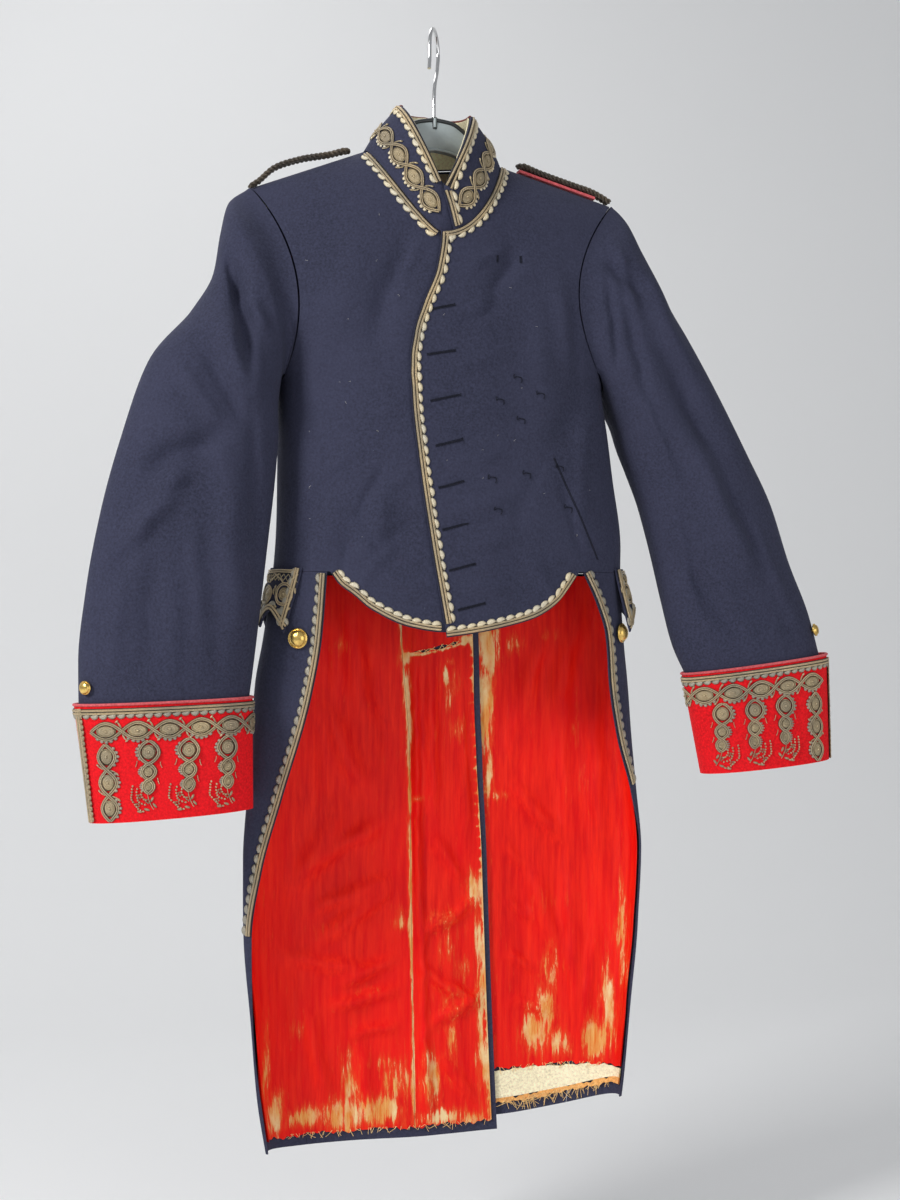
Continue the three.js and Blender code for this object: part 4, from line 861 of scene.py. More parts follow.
# The gold braid. Two flat cords of tarnished metal thread lie along each edge with a dark line
# between them, and a row of padded scallops is sewn along their inner side.
BRAID_CLEARANCE = 0.45


def cord_tree():
    tree, source, result = new_group(
        "couched_cord", "GeometryNodeTree",
        {"Geometry": "Geometry", "Cord radius": "Float", "Sides": "Int", "Thread": "Material"},
        ("Geometry", "Geometry"))
    curve = add_node(tree, "GeometryNodeMeshToCurve", {0: source["Geometry"]}).outputs[0]
    reach = add_node(tree, "GeometryNodeSplineParameter").outputs
    curve = add_node(tree, "GeometryNodeStoreNamedAttribute", {
        "Name": "run", "Geometry": curve, "Value": reach["Length"]}).outputs[0]
    ring = add_node(tree, "GeometryNodeCurvePrimitiveCircle", {
        "Resolution": source["Sides"], "Radius": source["Cord radius"]}).outputs[0]
    ring = add_node(tree, "GeometryNodeStoreNamedAttribute", {
        "Name": "turn", "Geometry": ring, "Value": reach["Factor"]}).outputs[0]
    sweep = add_node(tree, "GeometryNodeCurveToMesh", {"Fill Caps": True, "Curve": curve,
                                                       "Profile Curve": ring})
    realized = add_node(tree, "GeometryNodeRealizeInstances", {0: sweep.outputs[0]})
    smooth = add_node(tree, "GeometryNodeSetShadeSmooth", {"Geometry": realized.outputs[0]})
    dressed = add_node(tree, "GeometryNodeSetMaterial", {"Geometry": smooth.outputs[0],
                                                         "Material": source["Thread"]})
    fed(tree, result, {0: dressed.outputs[0]})
    return tree


def repeat_tree():
    tree, source, result = new_group(
        "sewn_repeats", "GeometryNodeTree", {"Geometry": "Geometry", "Motif": "Object", "Thread": "Material"},
        ("Geometry", "Geometry"))
    motif = add_node(tree, "GeometryNodeObjectInfo", {"Object": source["Motif"]}).outputs["Geometry"]
    facing, along, size = (
        add_node(tree, "GeometryNodeInputNamedAttribute", {"Name": label},
                 data_type="FLOAT_VECTOR").outputs["Attribute"]
        for label in ("facing", "along", "size"))
    stood = add_node(tree, "FunctionNodeAlignRotationToVector", {"Vector": facing}, axis="Z").outputs[0]
    swung = add_node(tree, "FunctionNodeAlignRotationToVector", {"Rotation": stood, "Vector": along},
                     axis="X", pivot_axis="Z").outputs[0]
    placed = add_node(tree, "GeometryNodeInstanceOnPoints", {
        "Points": source["Geometry"], "Instance": motif, "Rotation": swung, "Scale": size})
    realized = add_node(tree, "GeometryNodeRealizeInstances", {0: placed.outputs[0]})
    dressed = add_node(tree, "GeometryNodeSetMaterial", {"Geometry": realized.outputs[0],
                                                         "Material": source["Thread"]})
    fed(tree, result, {0: dressed.outputs[0]})
    return tree


couched_cord = cord_tree()
sewn_repeats = repeat_tree()


def grown(piece, tree, inputs):
    modifier = piece.modifiers.new("grown", "NODES")
    modifier.node_group = tree
    for item in tree.interface.items_tree:
        if item.item_type == "SOCKET" and item.in_out == "INPUT" and item.name in inputs:
            modifier[item.identifier] = inputs[item.name]
    graph = bpy.context.evaluated_depsgraph_get()
    mesh = bpy.data.meshes.new_from_object(piece.evaluated_get(graph), preserve_all_data_layers=True,
                                           depsgraph=graph)
    piece.modifiers.remove(modifier)
    before = piece.data
    piece.data = mesh
    bpy.data.meshes.remove(before)
    mesh.name = piece.name
    return piece


def laid_cords(name, strands, radius, thread, sides=6):
    points, edges, count = [], [], 0
    for strand in strands:
        strand = np.asarray(strand)
        points.append(strand)
        edges += [(count + i, count + i + 1) for i in range(len(strand) - 1)]
        count += len(strand)
    mesh = bpy.data.meshes.new(name)
    mesh.from_pydata((np.concatenate(points) / 1000.0).tolist(), edges, [])
    return grown(new_object(name, mesh), couched_cord, {"Cord radius": radius / 1000.0, "Sides": sides,
                                                        "Thread": thread})


def sewn_on(name, motif, places, thread):
    points = np.array([p[0] for p in places]) / 1000.0
    mesh = bpy.data.meshes.new(name)
    mesh.from_pydata(points.tolist(), [], [])
    for index, label in ((1, "facing"), (2, "along"), (3, "size")):
        layer = mesh.attributes.new(label, "FLOAT_VECTOR", "POINT")
        layer.data.foreach_set("vector", np.array([p[index] for p in places], float).ravel())
    return grown(new_object(name, mesh), sewn_repeats, {"Motif": motif, "Thread": thread})


def joined(name, pieces):
    for other in bpy.context.view_layer.objects:
        other.select_set(False)
    for piece in pieces:
        piece.select_set(True)
    bpy.context.view_layer.objects.active = pieces[0]
    bpy.ops.object.join()
    pieces[0].name = name
    pieces[0].data.name = name
    return pieces[0]


def metal_thread(name, crest_highlight, dull, tarnish, twist, metallic=0.3):
    material, tree, shader = new_material(name, {"Metallic": metallic, "Roughness": 0.42})
    spot = add_node(tree, "ShaderNodeTexCoord").outputs["Object"]
    age = mask_node(tree, spot, 26.0, 0.36, 0.66)
    strands = mask_node(tree, spot, 900.0, 0.32, 0.66)
    run, turn = (add_node(tree, "ShaderNodeAttribute",
                          attribute_name=label).outputs["Fac"] for label in ("run", "turn"))
    lay = reckoned(tree, "MULTIPLY_ADD", run, twist, turn)
    wave = reckoned(tree, "SINE", reckoned(tree, "MULTIPLY", lay, 4 * math.pi))
    ridge = add_node(tree, "ShaderNodeMapRange", {"From Min": -1.0, "Value": wave}).outputs["Result"]
    # the crests of the twist get the paler colour as painted highlight and the grooves the darker one as
    # painted shade; the strands mask then darkens threads at random, and age adds tarnish
    gold = tinted(tree, tinted(tree, dull, crest_highlight, ridge), dull, strands)
    fed(tree, shader, {"Base Color": tinted(tree, gold, tarnish, age)})
    bumped(tree, shader, reckoned(tree, "ADD", ridge, strands), 0.7, 0.0005)
    return material


gold_cord = metal_thread("gold_cord", (0.9, 0.73, 0.46), (0.58, 0.43, 0.24), (0.42, 0.35, 0.24), 620.0)
gold_padding = metal_thread("gold_padding", (0.95, 0.85, 0.6), (0.78, 0.65, 0.42), (0.7, 0.64, 0.5), 0.0,
                            metallic=0.2)
grey_padding = metal_thread("grey_padding", (0.6, 0.57, 0.47), (0.42, 0.38, 0.29), (0.3, 0.28, 0.23), 0.0)
dark_thread = metal_thread("dark_thread", (0.07, 0.06, 0.055), (0.035, 0.03, 0.03), (0.02, 0.02, 0.02),
                           800.0, metallic=0.1)


def lobe_motif(name, rings, half=False):
    heart = 0.32 if half else 0.0
    points, faces = [(0, heart, 1.0)], []
    count = 14
    for ring in range(1, rings + 1):
        share = ring / rings
        for i in range(count):
            turn = 2 * math.pi * i / count
            x, y = 0.5 * math.cos(turn), 0.5 * math.sin(turn)
            if half:
                y = math.sin(turn) * (1.0 if math.sin(turn) > 0 else 0.06)
            points.append((x * share, heart + (y - heart) * share, math.sqrt(max(0, 1 - share ** 2.4))))
    for i in range(count):
        n = (i + 1) % count
        faces.append((0, 1 + i, 1 + n))
        for ring in range(rings - 1):
            a, b = 1 + ring * count, 1 + (ring + 1) * count
            faces.append((a + i, b + i, b + n, a + n))
    faces.append(tuple(1 + (rings - 1) * count + i for i in reversed(range(count))))
    mesh = bpy.data.meshes.new(name)
    mesh.from_pydata([(x / 1000, y / 1000, z / 1000) for x, y, z in points], [], faces)
    mesh.polygons.foreach_set("use_smooth", [True] * len(faces))
    return new_object(name, mesh)


scallop_motif = lobe_motif("scallop_motif", 3, half=True)
oval_motif = lobe_motif("oval_motif", 3)


def along_path(surface, path, spacing):
    a, b = path
    curve = surface(a, b)
    reach = np.concatenate([[0], np.cumsum(np.linalg.norm(np.diff(curve, axis=0), axis=-1))])
    count = max(2, int(round(reach[-1] / spacing)))
    wanted = np.linspace(0, reach[-1], count + 1)
    return np.interp(wanted, reach, a), np.interp(wanted, reach, b), reach[-1]


def beside(surface, a, b, offset, height, lift, facing, leftward):
    along = np.gradient(surface(a, b), axis=0)
    along /= np.linalg.norm(along, axis=-1, keepdims=True) + 1e-12
    return beside_at(surface, a, b, along, offset, height, lift, facing, leftward)[0]


def flat_lift(a, b):
    return 0 * a


def braid_border(name, surface, path, nodes, lift=flat_lift, facing=1, leftward=1, padding=None, pitch=10.7):
    a, b, length = along_path(surface, path, 2.2)
    row = lambda offset, height: beside(surface, a, b, offset, BRAID_CLEARANCE + height, lift, facing,
                                        leftward)
    cords = laid_cords(name + "_cords", [row(2.0, 0.75), row(5.0, 0.75)], 1.25, gold_cord, 8)
    lines = laid_cords(name + "_lines", [row(0.5, 0.35), row(3.5, 0.9), row(6.4, 0.4)], 0.5, dark_thread, 5)
    count = max(1, int(round(length / pitch)))
    middle = (np.arange(count) + 0.5) / count * (len(a) - 1)
    sa, sb = np.interp(middle, np.arange(len(a)), a), np.interp(middle, np.arange(len(b)), b)
    ends = [np.interp(np.clip(middle + d, 0, len(a) - 1), np.arange(len(a)), c) for d in (-0.4,
            0.4) for c in (a, b)]
    ahead = surface(ends[2], ends[3]) - surface(ends[0], ends[1])
    ahead /= np.linalg.norm(ahead, axis=-1, keepdims=True)
    base = beside_at(surface, sa, sb, ahead, 5.9, BRAID_CLEARANCE + 0.15, lift, facing, leftward)
    places = []
    for i in range(count):
        point, normal, inward = base[0][i], base[1][i], base[2][i]
        along = np.cross(inward, normal)
        wobble = 1 + 0.07 * math.sin(5.1 * i) + 0.04 * math.sin(2.3 * i)
        places.append((point, normal, along + 0.3 * inward, (length / count * 1.08, 5.0 * wobble, 1.25)))
    lobes = sewn_on(name + "_scallops", scallop_motif, places, padding or gold_padding)
    return declare(joined(name, [cords, lines, lobes]), "gold_braid", *nodes)


def beside_at(surface, a, b, along, offset, height, lift, facing, leftward):
    by_a = (surface(a + NUDGE, b) - surface(a - NUDGE, b)) / (2 * NUDGE)
    by_b = (surface(a, b + NUDGE) - surface(a, b - NUDGE)) / (2 * NUDGE)
    normal = np.cross(by_a, by_b)
    normal = normal / (np.linalg.norm(normal, axis=-1, keepdims=True) + 1e-12) * facing
    inward = np.cross(normal, along) * leftward
    across = inward * np.asarray(offset)[..., None]
    dot = lambda p, q: (p * q).sum(-1)
    aa, ab, bb, ra, rb = (dot(by_a, by_a), dot(by_a, by_b), dot(by_b, by_b), dot(by_a, across),
                          dot(by_b, across))
    under = aa * bb - ab * ab
    new_a, new_b = a + (ra * bb - rb * ab) / under, b + (rb * aa - ra * ab) / under
    return lifted(surface, new_a, new_b, (lift(new_a, new_b) + height) * facing), normal, inward


def on_lap(a, b):
    return lap_lift(body(a, b)[..., 0])


def on_collar(a, b):
    return collar_lift(a)


def neck_path(side, start, end):
    x = np.linspace(start, end, 60)
    z = top_edge(side, x, False) - 0.8
    return angle_at(x, z), z


def waist_path(side, start, end):
    x = np.linspace(start, end, 60)
    z = waist_edge[side](x) + 0.8
    return angle_at(x, z), z


def skirt_path(side, low):
    z = np.linspace(WAIST - 2, low, 80)
    return angle_at(SKIRT_EDGE[side](z) + SIDES[side]["sign"] * 0.8, z), z


front_z = np.linspace(NECK_FRONT_Z - 2, -625, 90)
braid_border("braid_down_left_front", body, (angle_at(left_edge(front_z) + 0.8, front_z), front_z),
             ["braid_front_left"], lift=on_lap)
braid_border("braid_along_left_waist", body, waist_path("left", -3, 137), ["braid_waist_left"], lift=on_lap)
braid_border("braid_along_right_waist", body, waist_path("right", -9, -119), ["braid_waist_right"],
             leftward=-1)
braid_border("braid_down_left_skirt", body, skirt_path("left", -800), ["braid_skirt_left"],
             padding=grey_padding)
braid_border("braid_down_right_skirt", body, skirt_path("right", -948), ["braid_skirt_right"],
             leftward=-1, padding=grey_padding)
braid_border("braid_at_right_neck", body, neck_path("right", NECK_FRONT_X - 2, -73), ["braid_neck_right"])
braid_border("braid_at_left_neck", body, neck_path("left", NECK_FRONT_X + 4, 68), ["braid_neck_left"],
             lift=on_lap, leftward=-1)
turn = np.linspace(math.radians(4), math.pi - 0.02, 90)
braid_border("braid_on_right_collar", collar, (turn, 0 * turn + 0.985), ["braid_collar_right"],
             lift=on_collar, facing=-1)
turn = np.linspace(math.pi + 0.02, math.radians(359), 90)
braid_border("braid_on_left_collar", collar, (turn, 0 * turn + 0.985), ["braid_collar_left"],
             lift=on_collar, facing=-1)
up = np.linspace(0.86, 0.06, 40)
braid_border("braid_on_collar_end", collar, (collar_end(up) - 0.012, up), [], lift=on_collar, facing=-1)
for side in ("right", "left"):
    sewn = dict(leftward=-1 if side == "right" else 1, padding=grey_padding)
    turn = np.linspace(0, 2 * np.pi, 200)
    braid_border(f"braid_on_{side}_cuff", cuff[side], (turn, 0 * turn + 0.03), [f"braid_cuff_{side}"],
                 facing=SLEEVE_FACING[side], pitch=9.0, **sewn)
    down = np.linspace(0.02, 0.93, 30)
    braid_border(f"braid_on_{side}_flap_front", flap[side], (0 * down + 0.008, down),
                 [f"braid_flap_front_{side}"], facing=FLAP_FACING[side], **sewn)
    across = np.linspace(0.02, 0.98, 90)
    braid_border(f"braid_on_{side}_flap_low", flap[side], (across, 0 * across + 0.985),
                 [f"braid_flap_low_{side}"], facing=FLAP_FACING[side], **sewn)


# The linings of the tails: worn red twill, split at a seam behind the right tail. The left one is
# torn off above the hem, where cream interlining and a frayed strip show.
LINING = 1.0
LINING_EDGE = 6.0
LINING_HEM = 11.0
SEAM_LEAN = 8.5
TEAR = smooth_table([(10, -1117), (80, -1114), (150, -1109), (225, -1106)])
# from x, z to x, z in the front view, half width, height towards the wearer
LINING_CREASES = [
    (-110, -720, -70, -800, 12, 3.4), (-60, -690, -30, -740, 9, 2.4), (-96, -830, -140, -900, 13, 3.2),
    (-50, -840, -120, -880, 9, 2.8), (-30, -905, -110, -960, 10, 3.4), (-120, -930, -40, -900, 8, 2.6),
    (-150, -980, -60, -1000, 9, 2.6), (-28, -985, -90, -1010, 7, 2.6), (-24, -1020, -100, -1035, 7, 2.8),
    (-30, -1060, -80, -1066, 6, 2.2), (-130, -1040, -110, -1130, 9, 2.4),
    (-70, -1080, -62, -1150, 8, 2.0), (-40, -760, -26, -860, 8, 1.8), (4, -680, 8, -820, 8, 3.0),
    (40, -700, 44, -860, 9, 2.2), (10, -860, 40, -905, 8, 2.4), (0, -960, 52, -930, 7, 2.8),
    (-2, -1000, 56, -1040, 7, 2.8), (10, -1060, 60, -1030, 6, 2.4), (20, -1100, 52, -1140, 7, 2.0),
    (0, -1080, 6, -1160, 6, 1.8), (150, -640, 160, -860, 12, 3.2), (186, -700, 196, -900, 10, 2.8),
    (112, -700, 90, -780, 10, 2.4), (96, -800, 150, -860, 9, 2.6), (120, -900, 150, -990, 10, 2.6),
    (160, -900, 170, -1060, 9, 2.8), (92, -930, 120, -950, 6, 1.8), (94, -990, 124, -1005, 6, 2.0),
    (100, -1040, 140, -1050, 7, 1.8), (-13, -662, -9, -930, 6, 3.4), (-4, -930, 0, -1140, 5, 1.9),
    (190, -960, 176, -1080, 7, 2.0), (130, -640, 112, -700, 9, 2.2), (-100, -620, -96, -700, 9, 2.2),
    (-66, -640, -50, -690, 7, 1.8), (80, -860, 110, -890, 7, 1.8), (170, -620, 150, -700, 9, 2.0),
]
# middle x, z, half width, half height and strength of each worn place
WORN_PLACES = [
    (-23, -664, 7, 10, 1.1), (-20, -698, 4, 34, 1.0), (-17, -740, 2.6, 34, 0.9), (23, -684, 4, 13, 0.9),
    (46, -644, 14, 7, 1.0), (27, -668, 5, 5, 0.6), (54, -650, 6, 18, 0.85), (58, -700, 7, 60, 0.75),
    (30, -700, 12, 26, 0.5), (36, -740, 22, 18, 0.4), (-92, -650, 14, 10, 0.4), (70, -655, 13, 34, 1.1),
    (68, -720, 9, 60, 1.0), (72, -790, 5, 50, 0.8), (96, -650, 16, 12, 0.5), (136, -640, 8, 8, 0.4),
    (78, -815, 20, 8, 0.5), (168, -745, 7, 30, 0.4), (174, -800, 5, 20, 0.4), (-8, -815, 9, 5, 0.7),
    (-26, -950, 11, 9, 0.7), (-22, -938, 14, 12, 0.3), (56, -915, 12, 26, 0.85), (64, -960, 9, 60, 0.8),
    (20, -945, 18, 16, 0.5), (26, -980, 14, 24, 0.4), (42, -1000, 16, 16, 0.55), (62, -1040, 8, 50, 0.8),
    (30, -1030, 26, 24, 0.4), (66, -1100, 10, 46, 0.8), (76, -1150, 12, 24, 0.9),
    (140, -1010, 10, 40, 0.6), (136, -1050, 14, 34, 0.85), (124, -1075, 18, 26, 0.95),
    (150, -1085, 16, 20, 0.8), (186, -1080, 16, 26, 1.0), (200, -1040, 8, 50, 0.85),
    (214, -960, 6, 70, 0.7), (118, -1045, 8, 8, 0.6), (-176, -1090, 6, 50, 0.75),
    (-166, -1140, 12, 26, 0.9), (-130, -1150, 30, 14, 0.85), (-92, -1152, 26, 24, 0.9),
    (-84, -1120, 13, 40, 0.6), (-50, -1150, 30, 20, 0.95), (-28, -1120, 22, 30, 0.7),
    (-36, -1100, 26, 10, 0.55), (6, -1120, 14, 44, 0.75), (30, -1080, 8, 40, 0.6),
    (20, -1160, 40, 12, 0.8), (50, -1165, 30, 12, 0.7), (-60, -1020, 20, 8, 0.3),
    (-120, -950, 20, 10, 0.2), (150, -930, 26, 14, 0.25), (-140, -1060, 12, 16, 0.3),
]


def lining_seam(z):
    return between(-20, -11, (WAIST - z) / 610) - SEAM_LEAN * ease((z + 770) / 150)


# The slit across the inner width of the right tail's lining, held together by a few threads.
SLIT_LEVEL = -656.0
# from x to x, and half height, of each of its holes
SLIT_HOLES = [(-15, -8.6, 0.5), (-8.4, 4, 1.4), (6.8, 23, 2.1), (25.5, 36, 1.7)]


def slit(x):
    return SLIT_LEVEL + 0.24 * np.maximum(x + 4, 0)


def slit_opening(x):
    opening = 0 * x
    for from_x, to_x, half_height in SLIT_HOLES:
        along = np.clip((x - from_x) / (to_x - from_x), 0, 1)
        opening = np.maximum(opening, half_height * np.sin(np.pi * along) ** 0.7)
    return opening


def worn(x, z):
    wear = np.zeros(x.shape)
    at_slit = (x > lining_seam(z)) & (x < VENT_EDGE(z))
    wear = np.where(at_slit, 0.95 * np.exp(-(((z - slit(x) + 3.4) / 1.9) ** 2)), wear)
    for at_x, at_z, half_x, half_z, strength in WORN_PLACES:
        wear = np.maximum(wear, strength * np.exp(-(((x - at_x) / half_x) ** 2 + ((z - at_z) / half_z) ** 2)))
    to_vent = np.abs(x - (VENT_EDGE(z) - LINING_EDGE))
    tufts = np.clip(np.sin(z / 1.96 + 0.8 * np.sin(z / 17.0)), 0, 1) ** 3
    wear = np.maximum(wear, 0.95 * np.exp(-(to_vent / (2.6 + 1.1 * np.sin(z / 19.0) + 4.6 * tufts)) ** 2))
    to_seam = np.abs(x - lining_seam(z))
    return np.maximum(wear, 0.9 * np.exp(-((to_seam / 1.3) ** 2)))


def worn_twill():
    material, tree, shader = new_material("worn_red_twill", {"Specular IOR Level": 0.16})
    where = add_node(tree, "ShaderNodeTexCoord").outputs
    spot = where["Object"]
    stained = mask_node(tree, spot, 7.0, 0.36, 0.66, (1, 1, 0.55))
    streaks = mask_node(tree, spot, 190.0, 0.35, 0.7, (1, 1, 0.07))
    red = tinted(tree, (0.66, 0.0008, 0.002), (0.92, 0.002, 0.003), stained)
    red = tinted(tree, red, (0.96, 0.02, 0.005), streaks)
    wear = add_node(tree, "ShaderNodeAttribute", attribute_name="wear").outputs["Fac"]
    along_threads = add_node(tree, "ShaderNodeVectorMath", {0: spot, 1: (1.0, 1.0, 0.13)},
                             operation="MULTIPLY")
    fray = add_node(tree, "ShaderNodeTexNoise", {
        "Scale": 210.0, "Detail": 6.0, "Roughness": 0.72, "Vector": along_threads.outputs[0]})
    reach = reckoned(tree, "MULTIPLY_ADD", wear, 0.49, fray.outputs["Fac"])
    edge, glow = (
        add_node(tree, "ShaderNodeMapRange",
                 {"From Min": low, "From Max": high, "Value": reach}).outputs["Result"]
        for low, high in ((0.76, 0.86), (0.62, 0.82)))
    threads = mask_node(tree, spot, 320.0, 0.34, 0.66, (1, 1, 0.1))
    pale = mask_node(tree, spot, 60.0, 0.42, 0.66, (1, 1, 0.4))
    bare = tinted(tree, (0.8, 0.2, 0.03), (0.88, 0.47, 0.14), threads)
    bare = tinted(tree, bare, (0.93, 0.7, 0.36), pale)
    halo = tinted(tree, red, (0.86, 0.075, 0.012), glow)
    rough = add_node(tree, "ShaderNodeMapRange",
                     {"To Min": 0.46, "To Max": 0.85, "Value": edge}).outputs["Result"]
    fed(tree, shader, {"Base Color": tinted(tree, halo, bare, edge), "Roughness": rough})
    sunk = reckoned(tree, "SUBTRACT", streaks, edge)
    weave = weave_node(tree, where["UV"], 1500, 1.0)
    bumped(tree, shader, reckoned(tree, "MULTIPLY_ADD", weave, 0.12, sunk), 0.4, 0.0006)
    return material


def side_of_lining(side):
    sign = SIDES[side]["sign"]
    return lambda z: angle_at(SKIRT_EDGE[side](z), z) + sign * LINING_EDGE / 70


def lining_ridge(side, x, z):
    ridge = np.clip(2.1 * creased(LINING_CREASES, x, z), 0, 8)
    return ridge * (1 if side == "right" else ease((x - 78) / 24))


def levels_round_slit(spread, u, v, row):
    # the cells of one row lie along the slit and open, and the rows beside them make room
    a, b = spread(u, v)
    low, high = b[:1], b[-1:]
    level = slit(body(a[row], b[row])[..., 0])
    opening = np.maximum(slit_opening(body(a[row], b[row])[..., 0]), 0.03)
    order = np.arange(len(v))[:, None]
    below, above = order / row, (order - row - 1) / (len(v) - row - 2)
    z = np.where(order <= row, between(low, level, below), between(level, high, above))
    room = opening * np.exp(-np.abs(z - level) / 5)
    z = z + np.where(order <= row, -room, room)
    holes = np.zeros((len(v) - 1, u.shape[1] - 1), bool)
    holes[row] = (opening[1:] > 0.2) & (opening[:-1] > 0.2)
    return (z - low) / (high - low), holes


def lining_piece(name, side, near, far, low, high, columns, rows, material, *nodes, wrinkles=1.0,
                 slot="red_lining", torn_row=None):
    spread = patch(near, far, low, high)
    holes = None

    def place(u, v):
        nonlocal holes
        if torn_row:
            v, holes = levels_round_slit(spread, u, v, torn_row)
        a, b = spread(u, v)
        x = body(a, b)[..., 0]
        at_side = np.exp(-(((np.abs(a) - np.pi / 2) / 0.65) ** 2))
        lap = vent_lift(x, b) if side == "right" else 0 * x
        ridge = lining_ridge(side, x, b) * wrinkles * ease(u * 12) * ease((1 - u) * 12) * ease((1 - v) * 14)
        return a, b, lap - CLOTH - 0.9 - 1.8 * at_side - ridge
    grid = np.meshgrid(np.arange(columns + 1) / columns, np.arange(rows + 1) / rows)
    a, b, lift = place(*grid)
    piece, cut = wall_between(name, lifted(body, a, b, lift), lifted(body, a, b, lift - LINING), material,
                              holes=holes)
    count = len(piece.data.vertices)
    points = np.zeros(count * 3)
    piece.data.vertices.foreach_get("co", points)
    points = points.reshape(-1, 3) * 1000
    layer = piece.data.attributes.new("wear", "FLOAT", "POINT")
    layer.data.foreach_set("value", worn(points[:, 0], points[:, 2]))
    declare_cloth(piece, cut, slot, *nodes)
    return piece


red_twill = worn_twill()
ragged = lambda x: 1.6 * np.sin(x / 3.1) + 1.2 * np.sin(x / 1.3 + 1) + 1.5 * np.sin(x / 11.0)
lining_top = lambda x: WAIST - 3 + 0 * x
lining_vent = lambda z: angle_beyond(VENT_EDGE(z) - LINING_EDGE, z)
right_low = lambda x: HEM["right"](x) + LINING_HEM + 0.7 * ragged(x)
left_low = lambda x: HEM["left"](x) + LINING_HEM
centre_line = lambda z: angle_at(section(z)[0] + LINING_EDGE, z, True)
lining_piece("red_lining_right_side", "right", side_of_lining("right"),
             lambda z: angle_beyond(lining_seam(z) - SEAM, z), right_low, lining_top, 88, 170, red_twill,
             "lining_right_side")
lining_piece("red_lining_right_back", "right", lambda z: angle_beyond(lining_seam(z), z), lining_vent,
             right_low, lining_top, 60, 200, red_twill, "lining_right_back", torn_row=175)
lining_piece("red_lining_left", "left", side_of_lining("left"), centre_line,
             lambda x: TEAR(x) + 0.8 * ragged(x), lining_top, 96, 170, red_twill, "lining_left")
lining_piece("cream_interlining", "left", side_of_lining("left"), centre_line, lambda x: left_low(x) + 7,
             lambda x: TEAR(x) - 1.5 + 0.4 * ragged(x + 40), 80, 10, cream_cloth, "interlining_left",
             wrinkles=0.2, slot="cream_cloth")
frayed_cloth = wool("frayed_cloth", (0.5, 0.16, 0.035), (0.8, 0.42, 0.13), (0.95, 0.75, 0.4), nap=0.05,
                    fleck=0.6)
lining_piece("frayed_hem_strip", "left", side_of_lining("left"), centre_line,
             lambda x: left_low(x) + 1.2 + 0.5 * ragged(x),
             lambda x: left_low(x) + 7.5 + 0.9 * ragged(x + 9), 160, 8, frayed_cloth, "frayed_hem_left",
             wrinkles=0, slot="frayed_cloth")
buff_cloth = wool("buff_cloth", (0.2, 0.16, 0.11), (0.34, 0.29, 0.21), (0.6, 0.55, 0.45), nap=0.1, fleck=0.7)
neck_spread = patch(lambda z: angle_at(44, z, True), lambda z: angle_at(-44, z, True) + 2 * np.pi,
                    lambda x: -240 + 0 * x,
                    lambda x: np.where(x < NECK_FRONT_X, top_edge("right", x, True),
                                       top_edge("left", x, True)) - 1.2)
piece, cut = cloth_shell("buff_neck_lining", body, lambda u, v: (*neck_spread(u, v), 0 * u - CLOTH - 1.8),
                         30, 30, LINING, buff_cloth)
declare_cloth(piece, cut, "buff_cloth", "neck_lining")


# Loose threads hang from the torn lining, the frayed hem and the raw edges of the tails.
rng = np.random.default_rng(5)
loose_thread = wool("loose_thread", (0.6, 0.3, 0.09), (0.85, 0.6, 0.27), (0.95, 0.8, 0.5), nap=0.0, fleck=0.7)


def loose_threads(name, count, x_range, height_of, length, side, depth, spread):
    strands = []
    for _ in range(count):
        x = rng.uniform(*x_range)
        z = float(height_of(np.float64(x)))
        angle = angle_at(np.float64(x), np.float64(z), True)
        lap = float(vent_lift(np.float64(x), np.float64(z))) if side == "right" else 0.0
        start = lifted(body, angle, np.float64(z), np.float64(lap - CLOTH - 1.1 - LINING - depth))
        run = rng.uniform(0.35, 1.0) * length
        lean = rng.normal(0, spread)
        curl = rng.normal(0, 0.5)
        t = np.linspace(0, 1, 8)
        strand = start + np.stack([run * (lean * t + 0.25 * curl * t * t), -0.8 * t * rng.uniform(0, 1),
                                   -run * t * (1 - 0.3 * abs(lean) * t)], -1)
        strands.append(strand)
    piece = laid_cords(name, strands, 0.24, loose_thread, 4)
    declare(piece, "frayed_cloth")


loose_threads("threads_at_left_hem", 90, (88, 205), lambda x: HEM["left"](x) + 16, 17, "left", 0.6, 0.7)
loose_threads("threads_at_right_hem", 60, (-150, 70), lambda x: HEM["right"](x) + 13, 9, "right", 0.6, 0.6)
loose_threads("threads_at_tear", 40, (84, 205), lambda x: TEAR(x) + 2, 8, "left", 0.4, 0.8)

# where each thread that still holds the slit leaves its lower lip and meets its upper one
SLIT_THREADS = [(-13, -8), (-9.5, -5), (-6, -7.5), (-2.5, 2), (1, -1.5), (3, 8), (7, 5.5), (9, 4),
                (13, 17), (18, 16.5), (21, 26), (24, 21.5), (26, 29), (31, 29.5), (33, 37), (36, 34)]
strands = []
for low_x, high_x in SLIT_THREADS:
    t = np.linspace(-0.25, 1.25, 10)
    x = between(low_x, high_x, t) + 0.5 * np.sin(5 * t)
    reach = np.maximum(slit_opening(x), 0.8)
    z = slit(x) + (2 * t - 1) * reach
    ridge = lining_ridge("right", x, z)
    strands.append(lifted(body, angle_beyond(x, z), z, vent_lift(x, z) - CLOTH - 1.4 - LINING - ridge))
piece = laid_cords("threads_at_slit", strands, 0.3, loose_thread, 4)
declare(piece, "frayed_cloth")


# The raised embroidery: two double cords wave past each other and close in padded ovals worked
# with coiled gold wire, with a bead in the middle, fans along the lower side and small sprigs.
bead_motif = lobe_motif("bead_motif", 2)
fine_wire = metal_thread("fine_wire", (0.9, 0.78, 0.5), (0.62, 0.48, 0.27), (0.48, 0.4, 0.27), 900.0,
                         metallic=0.4)
olive_padding = metal_thread("olive_padding", (0.62, 0.5, 0.3), (0.42, 0.32, 0.18), (0.3, 0.25, 0.17),
                             0.0, metallic=0.25)


